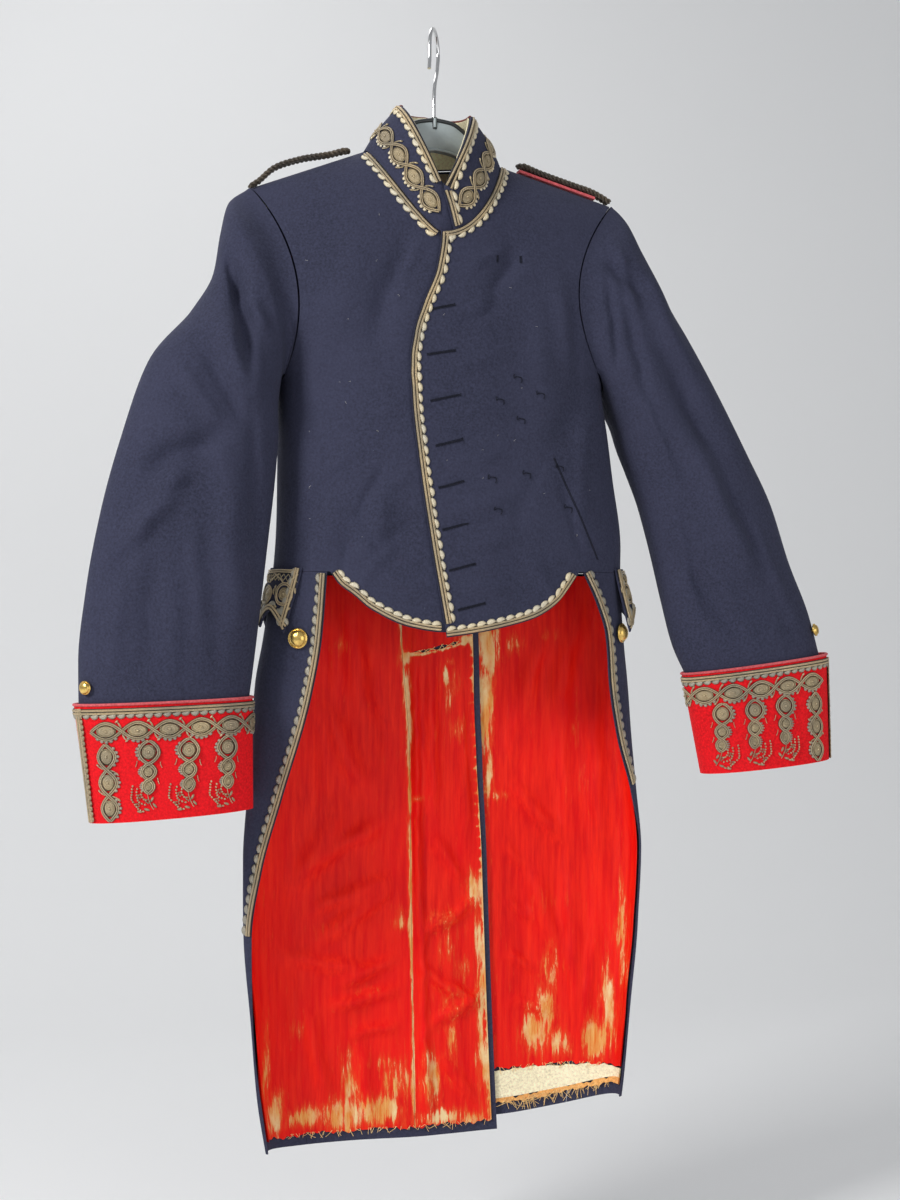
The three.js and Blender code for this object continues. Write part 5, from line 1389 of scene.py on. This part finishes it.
class Stitchwork:
    def __init__(self, surface, lift, facing):
        self.surface, self.lift, self.facing = surface, lift, facing
        self.ropes, self.lines, self.wires, self.ovals, self.beads, self.fans = [], [], [], [], [], []
        self.strips, self.spots = [], []

    def along(self, path, leftward):
        a, b, length = along_path(self.surface, path, 1.5)
        reach = np.linspace(0, length, len(a))

        def at(s, t, height):
            s = np.clip(s, 0, length)
            spot = [np.interp(s, reach, c) for c in (a, b)]
            ahead = self.surface(*[np.interp(s + 1, reach, c) for c in (a, b)])
            ahead = ahead - self.surface(*[np.interp(s - 1, reach, c) for c in (a, b)])
            ahead /= np.linalg.norm(ahead, axis=-1, keepdims=True)
            point, normal, inward = beside_at(self.surface, *spot, ahead, t, BRAID_CLEARANCE + height,
                                              self.lift, self.facing, leftward)
            return point, normal, inward, ahead * leftward
        return at, length

    def motif(self, group, at, s, t, height, turn, size):
        self.spots.append((group, at, s, t, height, turn, size))

    def line(self, group, at, s, t, height):
        s, t, height = np.broadcast_arrays(np.asarray(s, float), t, height)
        self.strips.append((group, at, s, t, height))

    def settle(self):
        for at in {id(job[1]): job[1] for job in self.strips + self.spots}.values():
            strips = [job for job in self.strips if job[1] is at]
            if strips:
                points = at(*[np.concatenate([job[k] for job in strips]) for k in (2, 3, 4)])[0]
                ends = np.cumsum([len(job[2]) for job in strips])
                for job, strip in zip(strips, np.split(points, ends[:-1])):
                    job[0].append(strip)
            spots = [job for job in self.spots if job[1] is at]
            if spots:
                s, t, height, turn = (np.array([job[k] for job in spots], float) for k in (2, 3, 4, 5))
                point, normal, inward, ahead = at(s, t, height)
                swing = ahead * np.cos(turn)[:, None] + inward * np.sin(turn)[:, None]
                for i, job in enumerate(spots):
                    job[0].append((point[i], normal[i], swing[i], job[6]))

    def medallion(self, at, s, t, wide, tall):
        self.motif(self.ovals, at, s, t, 0.1, 0, (wide, tall, 0.9))
        turn = np.linspace(0.6, 5.2 * np.pi, 46)
        coil = 0.2 + 0.74 * turn / turn[-1]
        self.line(self.wires, at, s + wide / 2 * coil * np.cos(turn), t + tall / 2 * coil * np.sin(turn),
                  1.0 - 0.3 * coil)
        self.motif(self.beads, at, s, t, 1.1, 0, (wide * 0.2, tall * 0.17, 1.1))

    def fan(self, at, s, t, turn, size, height=0.1):
        self.motif(self.fans, at, s, t, height, turn, size)

    def sprig(self, at, s, t, side, lean):
        reach = np.linspace(0, 1, 7)
        for shift in (0, 0.8):
            self.line(self.wires, at, s + lean * (0.4 + shift + 3.0 * reach ** 2),
                      t + side * (0.6 + 6.6 * reach), 0.5)
        self.motif(self.beads, at, s + lean * 4.6, t + side * 7.9, 0.3, lean * side * 0.7, (4.4, 2.2, 1.2))

    def chain(self, at, stops, widths, fan_side=1, sprigs=True, full=1.0):
        for strand in (0, 1):
            s_all, t_all, h_all = [], [], []
            for k in range(len(widths)):
                u = np.linspace(0, 1, 17)[:-1] if k < len(widths) - 1 else np.linspace(0, 1, 17)
                sign = 1 if (k + strand) % 2 == 0 else -1
                s_all.append(between(stops[k], stops[k + 1], u))
                t_all.append(sign * widths[k] * np.sin(np.pi * u) ** full)
                h_all.append(0.95 + 0.4 * np.cos(np.pi * (u + k)) * (1 if strand == 0 else -1))
            s, t, h = np.concatenate(s_all), np.concatenate(t_all), np.concatenate(h_all)
            slope_s, slope_t = np.gradient(s), np.gradient(t)
            size = np.hypot(slope_s, slope_t)
            for shift in (-0.8, 0.8):
                self.line(self.ropes, at, s - slope_t / size * shift, t + slope_s / size * shift, h)
            for shift, rise in ((0, 0.3), (-1.65, -0.45), (1.65, -0.45)):
                self.line(self.lines, at, s - slope_t / size * shift, t + slope_s / size * shift, h + rise)
        for k, width in enumerate(widths):
            pitch = stops[k + 1] - stops[k]
            middle = (stops[k] + stops[k + 1]) / 2
            self.medallion(at, middle, 0, pitch * 0.66, width * 1.5)
            for j in range(5):
                u = 0.2 + 0.15 * j
                wave = width * math.sin(math.pi * u) ** full
                slope = -1.1 * (u - 0.5)
                turn = slope if fan_side > 0 else math.pi - slope
                self.fan(at, stops[k] + pitch * u, fan_side * (wave + 1.3), turn, (pitch * 0.15, 3.1, 1.0))
            if sprigs and k:
                self.sprig(at, stops[k], 1.6 * fan_side, fan_side, 1)
                self.sprig(at, stops[k], -1.6 * fan_side, -fan_side, -1)

    def finished(self, name, metal=None):
        self.settle()
        pieces = [laid_cords(name + "_ropes", self.ropes, 0.78, gold_cord, 7)]
        if self.lines:
            pieces.append(laid_cords(name + "_lines", self.lines, 0.34, dark_thread, 4))
        if self.wires:
            pieces.append(laid_cords(name + "_wires", self.wires, 0.42, fine_wire, 5))
        for label, motif, places, thread in (("ovals", oval_motif, self.ovals, olive_padding),
                                             ("beads", bead_motif, self.beads, fine_wire),
                                             ("fans", scallop_motif, self.fans, metal or grey_padding)):
            if places:
                pieces.append(sewn_on(f"{name}_{label}", motif, places, thread))
        declare(joined(name, pieces), "gold_braid")


for side, start, end, count in (("right", 2, 176, 7), ("left", 184, 347, 7)):
    work = Stitchwork(collar, on_collar, -1)
    turn = np.radians(np.linspace(start, end, 80))
    to_front = np.linspace(1, 0, 80) if side == "right" else np.linspace(0, 1, 80)
    at, length = work.along((turn, 0.49 - 0.13 * to_front ** 2), 1)
    stops = 2 + (length - 4) * np.linspace(0, 1, count + 1)
    work.chain(at, stops, [8.2] * count)
    work.finished(f"embroidery_on_{side}_collar", gold_padding)


def cuff_angle(side, x, at):
    in_x, _, out_x, _, _, _ = smooth_table(CUFF_RINGS[side])(at)
    return np.arccos(signed_power(np.clip(2 * (x - in_x) / (out_x - in_x) - 1, -1, 1), 1 / 0.92))


CHAIN_LEVEL = 0.225
CHAIN_LEAD = 14.5
CHAIN_REPEAT = 31.0
CUFF_WORK = {
    "right": dict(leftward=-1, corner=(-348, -340), edge=(-373.6, -359.2), pendants=[-304, -264.6, -225.7]),
    "left": dict(leftward=1, corner=(412, 418), edge=(437.6, 440.8), pendants=[377, 341.7, 307.5]),
}
dusty_piping = wool("dusty_piping", (0.42, 0.05, 0.06), (0.56, 0.11, 0.12), (0.8, 0.4, 0.4), nap=0.1,
                    fleck=0.76)
for side, plan in CUFF_WORK.items():
    surface, facing, leftward = cuff[side], SLEEVE_FACING[side], plan["leftward"]
    down = np.linspace(0.03, 0.99, 50)
    edge_turn = cuff_angle(side, between(*plan["edge"], down), down)
    braid_border(f"braid_down_{side}_cuff", surface, (edge_turn, down), [], facing=facing,
                 leftward=-leftward, padding=olive_padding, pitch=5.5)
    work = Stitchwork(surface, flat_lift, facing)
    first = float(cuff_angle(side, np.float64(plan["corner"][0]), np.float64(0.2)))
    turn = np.linspace(first, first + 2 * np.pi, 200)
    length = along_path(surface, (turn, 0 * turn + CHAIN_LEVEL), 1.5)[2]
    count = int((length - 24) / CHAIN_REPEAT)
    turn = turn - CHAIN_LEAD / length * 2 * np.pi
    at, length = work.along((turn, 0 * turn + CHAIN_LEVEL), leftward)
    stops = np.arange(count + 1) * CHAIN_REPEAT + 0.5
    work.chain(at, stops, [8.0] * count)
    drop = np.linspace(0.33, 0.985, 40)
    at, length = work.along((cuff_angle(side, between(*plan["corner"], drop), drop), drop), -leftward)
    work.chain(at, np.linspace(0, length, 4), [8.4, 8.4, 8.0])
    for pendant_x in plan["pendants"]:
        drop = np.linspace(0.315, 0.99, 40)
        at, length = work.along((cuff_angle(side, pendant_x + 0 * drop, drop), drop), leftward)
        work.chain(at, [0, 23, 38.5, 52], [9.6, 6.6, 5.0], sprigs=False, full=0.72)
        for s, t, turned, lean in ((20, 11.5, 1, 1), (21, -11, -1, 1), (37, -8.6, -1, 1)):
            reach = np.linspace(0, 1, 6)
            work.line(work.wires, at, s + 6 * reach, t + turned * 1.6 * reach ** 2, 0.4)
        for radius, beads in ((17.5, 12), (11.5, 8), (6.0, 5)):
            for j in range(beads):
                bend = between(-0.5, 1.35, j / (beads - 1))
                s = 53 + radius * 0.95 * math.sin(bend) + 0.5 * math.sin(7 * j)
                t = 1.5 + radius * math.cos(bend) * 0.92 + 0.5 * math.cos(5 * j)
                if s < length - 2.2:
                    work.motif(work.beads, at, s, t, 0.3, 0.7 * j, (2.5, 2.1, 1.3))
        for centre_s, centre_t in ((55, 8.5), (60, 0.5), (64, 11)):
            for j in range(5):
                turned = 2 * math.pi * j / 5
                if centre_s + 2.2 < length - 1.5:
                    s, t = centre_s + 1.7 * math.cos(turned), centre_t + 1.7 * math.sin(turned)
                    work.motif(work.ovals, at, s, t, 0.3, turned, (2.4, 1.3, 1.0))
        for s, t, turned in ((58, -3.5, -0.5), (64, -6.0, 0.7), (68, 1.5, 1.3), (70, 8.5, 1.5)):
            work.motif(work.ovals, at, min(s, length - 4), t, 0.2, turned, (6.0, 2.6, 1.0))
        reach = np.linspace(0, 1, 8)
        work.line(work.wires, at, 50 + 18 * reach, 1 - 6 * reach ** 2, 0.4)
    work.finished(f"embroidery_on_{side}_cuff")
    ring = np.linspace(0, 2 * np.pi, 160)
    rim = lifted(surface, ring, 0 * ring - 0.004, (0 * ring + 0.2) * facing)
    declare(laid_cords(f"piping_on_{side}_cuff", [rim], 1.5, dusty_piping, 8), "cuff_cloth")

for side in ("right", "left"):
    leftward = 1 if side == "right" else -1
    work = Stitchwork(flap[side], flat_lift, FLAP_FACING[side])
    across = np.linspace(0.02, 0.98, 80)
    at, length = work.along((across, 0 * across + 0.035), leftward)
    s = np.linspace(0, length, 90)
    for t in (1.0, 3.0):
        work.line(work.ropes, at, s, 0 * s + t, 0.7)
    work.line(work.lines, at, s, 0 * s + 4.4, 0.5)
    for j in range(int(length / 6)):
        for lean in (1, -1):
            reach = np.linspace(0, 1, 6)
            work.line(work.wires, at, 6 * j + 3 + lean * 3 * (2 * reach - 1), 5 + 7 * reach, 0.5)
    for middle, drop in ((0.17, 24), (0.5, 28), (0.83, 24)):
        centre = middle * length
        turn = np.linspace(0, 2 * np.pi, 40)
        for radius in (8.6, 10.2):
            work.line(work.ropes, at, centre + radius * np.sin(turn), drop - radius * np.cos(turn), 0.8)
        work.line(work.lines, at, centre + 9.4 * np.sin(turn), drop - 9.4 * np.cos(turn), 1.1)
        work.medallion(at, centre, drop, 14, 14)
        for lean in (-1, 1):
            work.line(work.ropes, at, centre + lean * np.array([2, 6, 13, 18]), np.array([14, 11, 7, 5]), 0.9)
            work.motif(work.ovals, at, centre + lean * 13, drop - 4, 0.3, 1.4 * lean, (7, 2.8, 1.1))
            work.motif(work.ovals, at, centre + lean * 8, drop + 12, 0.3, -0.6 * lean, (6, 2.6, 1.1))
    work.finished(f"embroidery_on_{side}_flap", gold_padding)


# The buttons, of stamped brass: a dome with a milled rim, fastened by a shank through the cloth.
def brass(name):
    material, tree, shader = new_material(name, {"Metallic": 0.92, "Roughness": 0.24})
    spot = add_node(tree, "ShaderNodeTexCoord").outputs["Object"]
    dull = mask_node(tree, spot, 170.0, 0.4, 0.72)
    fed(tree, shader, {"Base Color": tinted(tree, (0.95, 0.66, 0.2), (0.5, 0.31, 0.08), dull)})
    bumped(tree, shader, dull, 0.4, 0.0004)
    return material


button_brass = brass("button_brass")


def button(name, diameter, base, normal, node):
    radius = diameter / 2
    shares = [(0, 0), (0.3, 0), (0.3, 1.5), (0.84, 1.7), (0.97, 2.4), (1, 3.0), (0.98, 3.5), (0.9, 3.9),
              (0.86, 3.7), (0.8, 4.2)]
    profile = [(radius * share, height) for share, height in shares]
    for step in range(1, 9):
        turn = step / 9 * math.pi / 2
        profile.append((radius * 0.8 * math.cos(turn), 4.2 + (radius * 0.55 - 1.2) * math.sin(turn)))
    profile.append((0, 3 + radius * 0.55))
    side_way = np.cross(normal, [0.0, 0.0, 1.0])
    side_way /= np.linalg.norm(side_way)
    up_way = np.cross(side_way, normal)
    count, points, faces = 40, [base], []
    for r, h in profile[1:-1]:
        for i in range(count):
            turn = 2 * math.pi * i / count
            milled = 0.16 * math.cos(20 * turn) if 0.85 * radius < r < 0.99 * radius and h > 3.3 else 0
            outward = side_way * math.cos(turn) + up_way * math.sin(turn)
            points.append(base + normal * (h + milled) + outward * r)
    points.append(base + normal * profile[-1][1])
    rings = len(profile) - 2
    for i in range(count):
        n = (i + 1) % count
        faces.append((0, 1 + n, 1 + i))
        for ring in range(rings - 1):
            a, b = 1 + ring * count, 1 + (ring + 1) * count
            faces.append((a + i, a + n, b + n, b + i))
        last = 1 + (rings - 1) * count
        faces.append((last + i, last + n, len(points) - 1))
    piece = make_mesh(name, np.array(points), faces, button_brass)
    declare(piece, "button_metal", node)


for side, x, z, stand in (("right", -151.0, -640.0, -0.3), ("left", 195.0, -636.0, 0.4)):
    angle = angle_at(np.float64(x), np.float64(z))
    base, above = (lifted(body, angle, np.float64(z), np.float64(stand + d)) for d in (0, 1))
    button(f"brass_flap_button_{side}", 21, base, above - base, f"flap_button_{side}")
for side, turn, along in (("right", 26, 0.945), ("left", 20, 0.93)):
    angle = np.float64(math.radians(turn))
    base, above = (lifted(sleeve[side], angle, np.float64(along),
                          np.float64((SEAM + d) * SLEEVE_FACING[side])) for d in (0, 1))
    button(f"brass_cuff_button_{side}", 14, base, above - base, f"cuff_button_{side}")


# The shoulder cords: each is a loop of two strands of dark bronze cord twisted together, sewn
# down at the shoulder tip. Under the left one a narrow strip of red wool is sewn on.
bronze_cord = metal_thread("bronze_cord", (0.2, 0.15, 0.095), (0.09, 0.07, 0.05), (0.05, 0.042, 0.035), 520.0)
CORD_RUNS = {
    "right": [(-92, -131.4), (-112, -136), (-143, -142.6), (-170, -153), (-186, -167.2), (-195, -173.5)],
    "left": [(92, -137.8), (116, -144.6), (150, -154.8), (172, -161.2), (184, -166.8), (193, -172)],
}


def smooth_route(points, spacing):
    points = np.array(points, float)
    knots = np.concatenate([[0], np.cumsum(np.sqrt(np.linalg.norm(np.diff(points, axis=0), axis=1)))])
    before = np.vstack([2 * points[0] - points[1], points, 2 * points[-1] - points[-2]])
    times = np.concatenate([[2 * knots[0] - knots[1]], knots, [2 * knots[-1] - knots[-2]]])
    route = []
    for i in range(1, len(points)):
        t0, t1, t2, t3 = times[i - 1:i + 3]
        p0, p1, p2, p3 = before[i - 1:i + 3]
        count = max(2, int(np.linalg.norm(p2 - p1) / spacing) + 1)
        for t in np.linspace(t1, t2, count, endpoint=False):
            a1 = (t1 - t) / (t1 - t0) * p0 + (t - t0) / (t1 - t0) * p1
            a2 = (t2 - t) / (t2 - t1) * p1 + (t - t1) / (t2 - t1) * p2
            a3 = (t3 - t) / (t3 - t2) * p2 + (t - t2) / (t3 - t2) * p3
            b1 = (t2 - t) / (t2 - t0) * a1 + (t - t0) / (t2 - t0) * a2
            b2 = (t3 - t) / (t3 - t1) * a2 + (t - t1) / (t3 - t1) * a3
            route.append((t2 - t) / (t2 - t1) * b1 + (t - t1) / (t2 - t1) * b2)
    route.append(points[-1])
    return np.array(route)


def twisted(route, strands, offset, lay):
    reach = np.concatenate([[0], np.cumsum(np.linalg.norm(np.diff(route, axis=0), axis=1))])
    along = np.gradient(route, axis=0)
    along /= np.linalg.norm(along, axis=1, keepdims=True)
    first = np.cross(along, [0.0, 0.0, 1.0])
    first /= np.linalg.norm(first, axis=1, keepdims=True) + 1e-9
    second = np.cross(along, first)
    laid = []
    for k in range(strands):
        turn = (2 * np.pi * (reach / lay + k / strands))[:, None]
        laid.append(route + offset * (first * np.cos(turn) + second * np.sin(turn)))
    return laid


for side, run in CORD_RUNS.items():
    sign, half = SIDES[side]["sign"], 4.5
    there = [(x, -half, z) for x, z in reversed(run)][:-1]
    back = [(x, half, z) for x, z in run[1:]]
    loop_x, loop_z = run[0]
    bends = there + [(loop_x + sign * 4, -half, loop_z), (loop_x, 0, loop_z),
                     (loop_x + sign * 4, half, loop_z)] + back
    route = smooth_route(bends, 1.1)
    piece = laid_cords(f"shoulder_loop_{side}", twisted(route, 2, 1.45, 9.5), 1.6, bronze_cord, 8)
    declare(piece, "shoulder_cord", f"shoulder_cord_{side}")

strap_rows, strap_ring = [], [(-6.5, 0.3), (-6.2, 0), (6.2, 0), (6.5, 0.3), (6.5, 2.4), (6.1, 2.9),
                              (-6.1, 2.9), (-6.5, 2.4)]
for x in np.linspace(92, 176, 40):
    low = float(shoulder_line(np.float64(x))) + SEAM
    ripple = 0.25 * math.sin(x / 5.0)
    strap_rows.append([(x, y, low + up * (1 + 0.03 * ripple)) for y, up in strap_ring])
count = len(strap_ring)
faces = [tuple(range(count))[::-1], tuple((len(strap_rows) - 1) * count + i for i in range(count))]
for row in range(len(strap_rows) - 1):
    for i in range(count):
        n = (i + 1) % count
        faces.append((row * count + i, row * count + n, (row + 1) * count + n, (row + 1) * count + i))
piece = make_mesh("red_shoulder_strap", np.array(strap_rows).reshape(-1, 3), [f[::-1] for f in faces],
                  dusty_piping)
declare(piece, "cuff_cloth", "shoulder_strap_left")


# The hanger: a moulded grey plastic bar with a thicker rim along its top, coloured near-black as painted
# shade of the shadowed recess there, and a steel wire hook that is pressed into a socket in its crown.
def smooth_solid(name, colour, rough, metallic=0.0):
    material, tree, shader = new_material(name, {"Roughness": rough, "Metallic": metallic})
    spots = mask_node(tree, add_node(tree, "ShaderNodeTexCoord").outputs["Object"], 60.0, 0.3, 0.75)
    fed(tree, shader, {"Base Color": tinted(tree, colour, tuple(c * 0.8 for c in colour), spots)})
    return material


grey_plastic = smooth_solid("grey_plastic", (0.46, 0.52, 0.53), 0.42)
# near-black: painted shade for the rim along the top of the bar; the hook socket is drawn in it too
dark_rim = smooth_solid("dark_rim", (0.03, 0.034, 0.036), 0.38)
hook_steel = smooth_solid("hook_steel", (0.8, 0.8, 0.8), 0.16, metallic=1.0)
HANGER = smooth_table([(0, -91, 36), (18, -94, 36), (32, -103, 35), (50, -125, 31), (66, -142.2, 27),
                       (84, -148.2, 25), (130, -161, 24), (172, -174.2, 20), (184, -179.5, 13)])


def hanger_rings(shrink_top, shrink_low, half_thick):
    rings = []
    for x in np.linspace(-184, 184, 101):
        top, tall = HANGER(np.abs(x))
        top, tall = float(top) - shrink_top, float(tall) - shrink_top - shrink_low
        turn = np.linspace(0, 2 * np.pi, 24, endpoint=False)
        y = half_thick * signed_power(np.cos(turn), 0.7)
        z = top - tall / 2 + tall / 2 * signed_power(np.sin(turn), 0.8)
        rings.append(np.stack([0 * turn + x, y, z], -1))
    return rings


def ringed(name, rings, material):
    count = len(rings[0])
    faces = [tuple(range(count)), tuple((len(rings) - 1) * count + i for i in reversed(range(count)))]
    for row in range(len(rings) - 1):
        for i in range(count):
            n = (i + 1) % count
            faces.append((row * count + i, (row + 1) * count + i, (row + 1) * count + n, row * count + n))
    return make_mesh(name, np.concatenate(rings), [f[::-1] for f in faces], material)


bar = ringed("hanger_bar", hanger_rings(0.8, 0.6, 4.6), grey_plastic)
xs = np.linspace(-183, 183, 101)
tops, talls = HANGER(np.abs(xs))
# four near-black cords thicken the top rim; their colour is painted shade of the recess there, not a colour
# of the plastic
rims = [np.stack([xs, 0 * xs + y, tops - 2.0 - 0.3 * abs(y)], -1) for y in (-3.2, -1.1, 1.1, 3.2)]
rim = laid_cords("hanger_rim", rims, 2.2, dark_rim, 10)
low_rims = [np.stack([xs, 0 * xs + y, tops - talls + 1.6], -1) for y in (-3.6, 3.6)]
low_rim = laid_cords("hanger_low_rim", low_rims, 1.5, grey_plastic, 10)
collars = [np.array([(0, y, -91.6), (0, y, -104)]) for y in (-2.6, 2.6)]
socket = laid_cords("hook_socket", collars, 3.0, dark_rim, 12)
pin = laid_cords("hook_pin", [np.array([(0, -4.4, -92.5), (0, -4.4, -102)])], 1.7, grey_plastic, 12)
piece = joined("hanger_in_grey_plastic", [bar, rim, low_rim, socket, pin])
declare(piece, "hanger_plastic", "hanger_body")

arch = [(22 * math.cos(a), 22 * math.sin(a) - 20) for a in np.linspace(0, np.pi, 9)]
hook_route = [(0, -91.7), (0, -72), (4, -56), (16, -38)] + arch + [(-22.5, -34), (-25, -45.5)]
hook_turn = math.radians(24)
bends = [(out * math.sin(hook_turn), out * math.cos(hook_turn), z) for out, z in hook_route]
piece = laid_cords("steel_hook", [smooth_route(bends, 1.5)], 2.0, hook_steel, 20)
declare(piece, "hook_metal", "hanger_hook")


# The sewing: worked buttonholes down the left front, thread loops where ornaments have been
# taken off, the dart below the left chest, and the topstitched edges of the tails.
def on_body(points, height):
    return [(x, z, height) for x, z in points]


def all_on_body(rows):
    x, z, height = np.array([point for row in rows for point in row], float).T
    points = lifted(body, angle_at(x, z), z, lap_lift(x) + height)
    return np.split(points, np.cumsum([len(row) for row in rows])[:-1])


def straight(start, end, step=1.5):
    count = max(2, int(math.dist(start, end) / step))
    return [tuple(between(a, b, t) for a, b in zip(start, end)) for t in np.linspace(0, 1, count + 1)]


navy_thread = wool("navy_thread", (0.006, 0.007, 0.014), (0.012, 0.013, 0.022), (0.1, 0.1, 0.14), nap=0.1,
                   fleck=0.8)
HOLES = [((-21, -306), (5, -300)), ((-24, -352), (5, -347)), ((-21, -399), (10, -392)),
         ((-16, -445), (12, -438)), ((-13, -487), (13, -481)), ((-9, -530), (18, -524)),
         ((-2, -571), (25, -564)), ((8, -611), (36, -604))]
STITCH_PITCH = 1.7
STITCH = (-1.45, -0.7, 0.1)
rows, slits = [], []
for number, (start, end) in enumerate(HOLES):
    tilt = np.array([-(end[1] - start[1]), end[0] - start[0]])
    tilt = tilt / np.linalg.norm(tilt)
    wave = 0.35 * math.sin(2.7 * number)
    for side_of_slit in (-1, 1):
        offset = tilt * (0.85 + 0.1 * wave) * side_of_slit
        rows.append(on_body([(x + offset[0], z + offset[1] + wave) for x, z in straight(start, end)], 0.45))
    slits.append(on_body(straight(start, end), 0.1))
    bar = [(end[0] + tilt[0] * t, end[1] + tilt[1] * t) for t in np.linspace(-1.7, 1.7, 5)]
    rows.append(on_body(bar, 0.7))
    length = math.dist(start, end)
    for j in range(int(length / STITCH_PITCH)):
        share = j * STITCH_PITCH / length
        x, z = between(start[0], end[0], share), between(start[1], end[1], share)
        for way in (-1, 1):
            rows.append(on_body([(x + way * tilt[0] * t, z + way * tilt[1] * t) for t in STITCH], 0.5))
piece = joined("buttonholes", [laid_cords("buttonhole_stitches", all_on_body(rows), 0.32, navy_thread, 5),
                               laid_cords("buttonhole_slits", all_on_body(slits), 0.5, navy_thread, 6)])
declare(piece, "navy_cloth")

LOOPS = [(72, -372), (52, -396), (97, -388), (75, -415), (43, -476), (81, -471), (49, -508), (118, -463),
         (128, -505)]
LOOPS_AT_NECK = [(52, -249), (79, -248)]
rows = []
for number, (x, z) in enumerate(LOOPS):
    lean = 0.5 * math.sin(3.1 * number)
    rows.append(on_body([(x - 4, z - 1), (x - 1.5, z + 0.6 + lean), (x + 1.5, z + 0.4),
                         (x + 4.5, z - 0.4)], 0.5))
    rows.append(on_body([(x - 4, z - 1), (x - 4.4, z + 1.6), (x - 3.4, z + 3.2 + lean)], 0.6))
    rows.append(on_body([(x + 4.3, z - 0.4), (x + 4.4, z - 3.4), (x + 3.6, z - 5.2 + lean)], 0.5))
for x, z in LOOPS_AT_NECK:
    for shift in (-0.7, 0.7):
        rows.append(on_body(straight((x + shift, z + 3.5), (x + shift, z - 4)), 0.4))
piece = laid_cords("thread_loops", all_on_body(rows), 0.5, navy_thread, 5)
declare(piece, "navy_cloth")

seams = all_on_body([on_body(straight((111 + shift, -454), (163 + shift, -559)), 0.05) for shift in (0, 1.4)])
for side, low in (("right", -1150), ("left", -1080)):
    z = np.linspace(WAIST - 14, low, 150)
    seams.append(lifted(body, SIDES[side]["sign"] * side_back_angle(z), z, 0 * z + 0.1))
piece = laid_cords("seam_threads", seams, 0.45, navy_thread, 5)
declare(piece, "navy_cloth")

rng = np.random.default_rng(11)
strands = []
for _ in range(26):
    x, z = rng.uniform(-150, 160), rng.uniform(-560, -200)
    turn, curl, run = rng.uniform(0, 2 * np.pi), rng.normal(0, 0.9), rng.uniform(1, 3.2)
    t = np.linspace(0, 1, 7)
    strands.append(on_body(np.stack([x + run * t * np.cos(turn + curl * t),
                                     z + run * t * np.sin(turn + curl * t)], -1), 0.35))
pale_lint = wool("pale_lint", (0.35, 0.33, 0.3), (0.5, 0.48, 0.44), (0.8, 0.8, 0.75), nap=0.0, fleck=0.8)
piece = laid_cords("lint_on_the_wool", all_on_body(strands), 0.1, pale_lint, 4)
declare(piece, "navy_cloth")

turn = np.radians(np.linspace(78, 282, 120))
rim = lifted(collar, turn, 0 * turn + 1.0, -(collar_lift(turn) - 0.9))
binding = wool("brown_binding", (0.09, 0.02, 0.018), (0.16, 0.04, 0.03), (0.4, 0.25, 0.2), nap=0.1, fleck=0.8)
piece = laid_cords("binding_on_collar_top", [rim], 1.3, binding, 8)
declare(piece, "cream_cloth")
# the pieces hold their own copies of the three motifs by now
for motif in (scallop_motif, oval_motif, bead_motif):
    bpy.data.objects.remove(motif)


low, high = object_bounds()
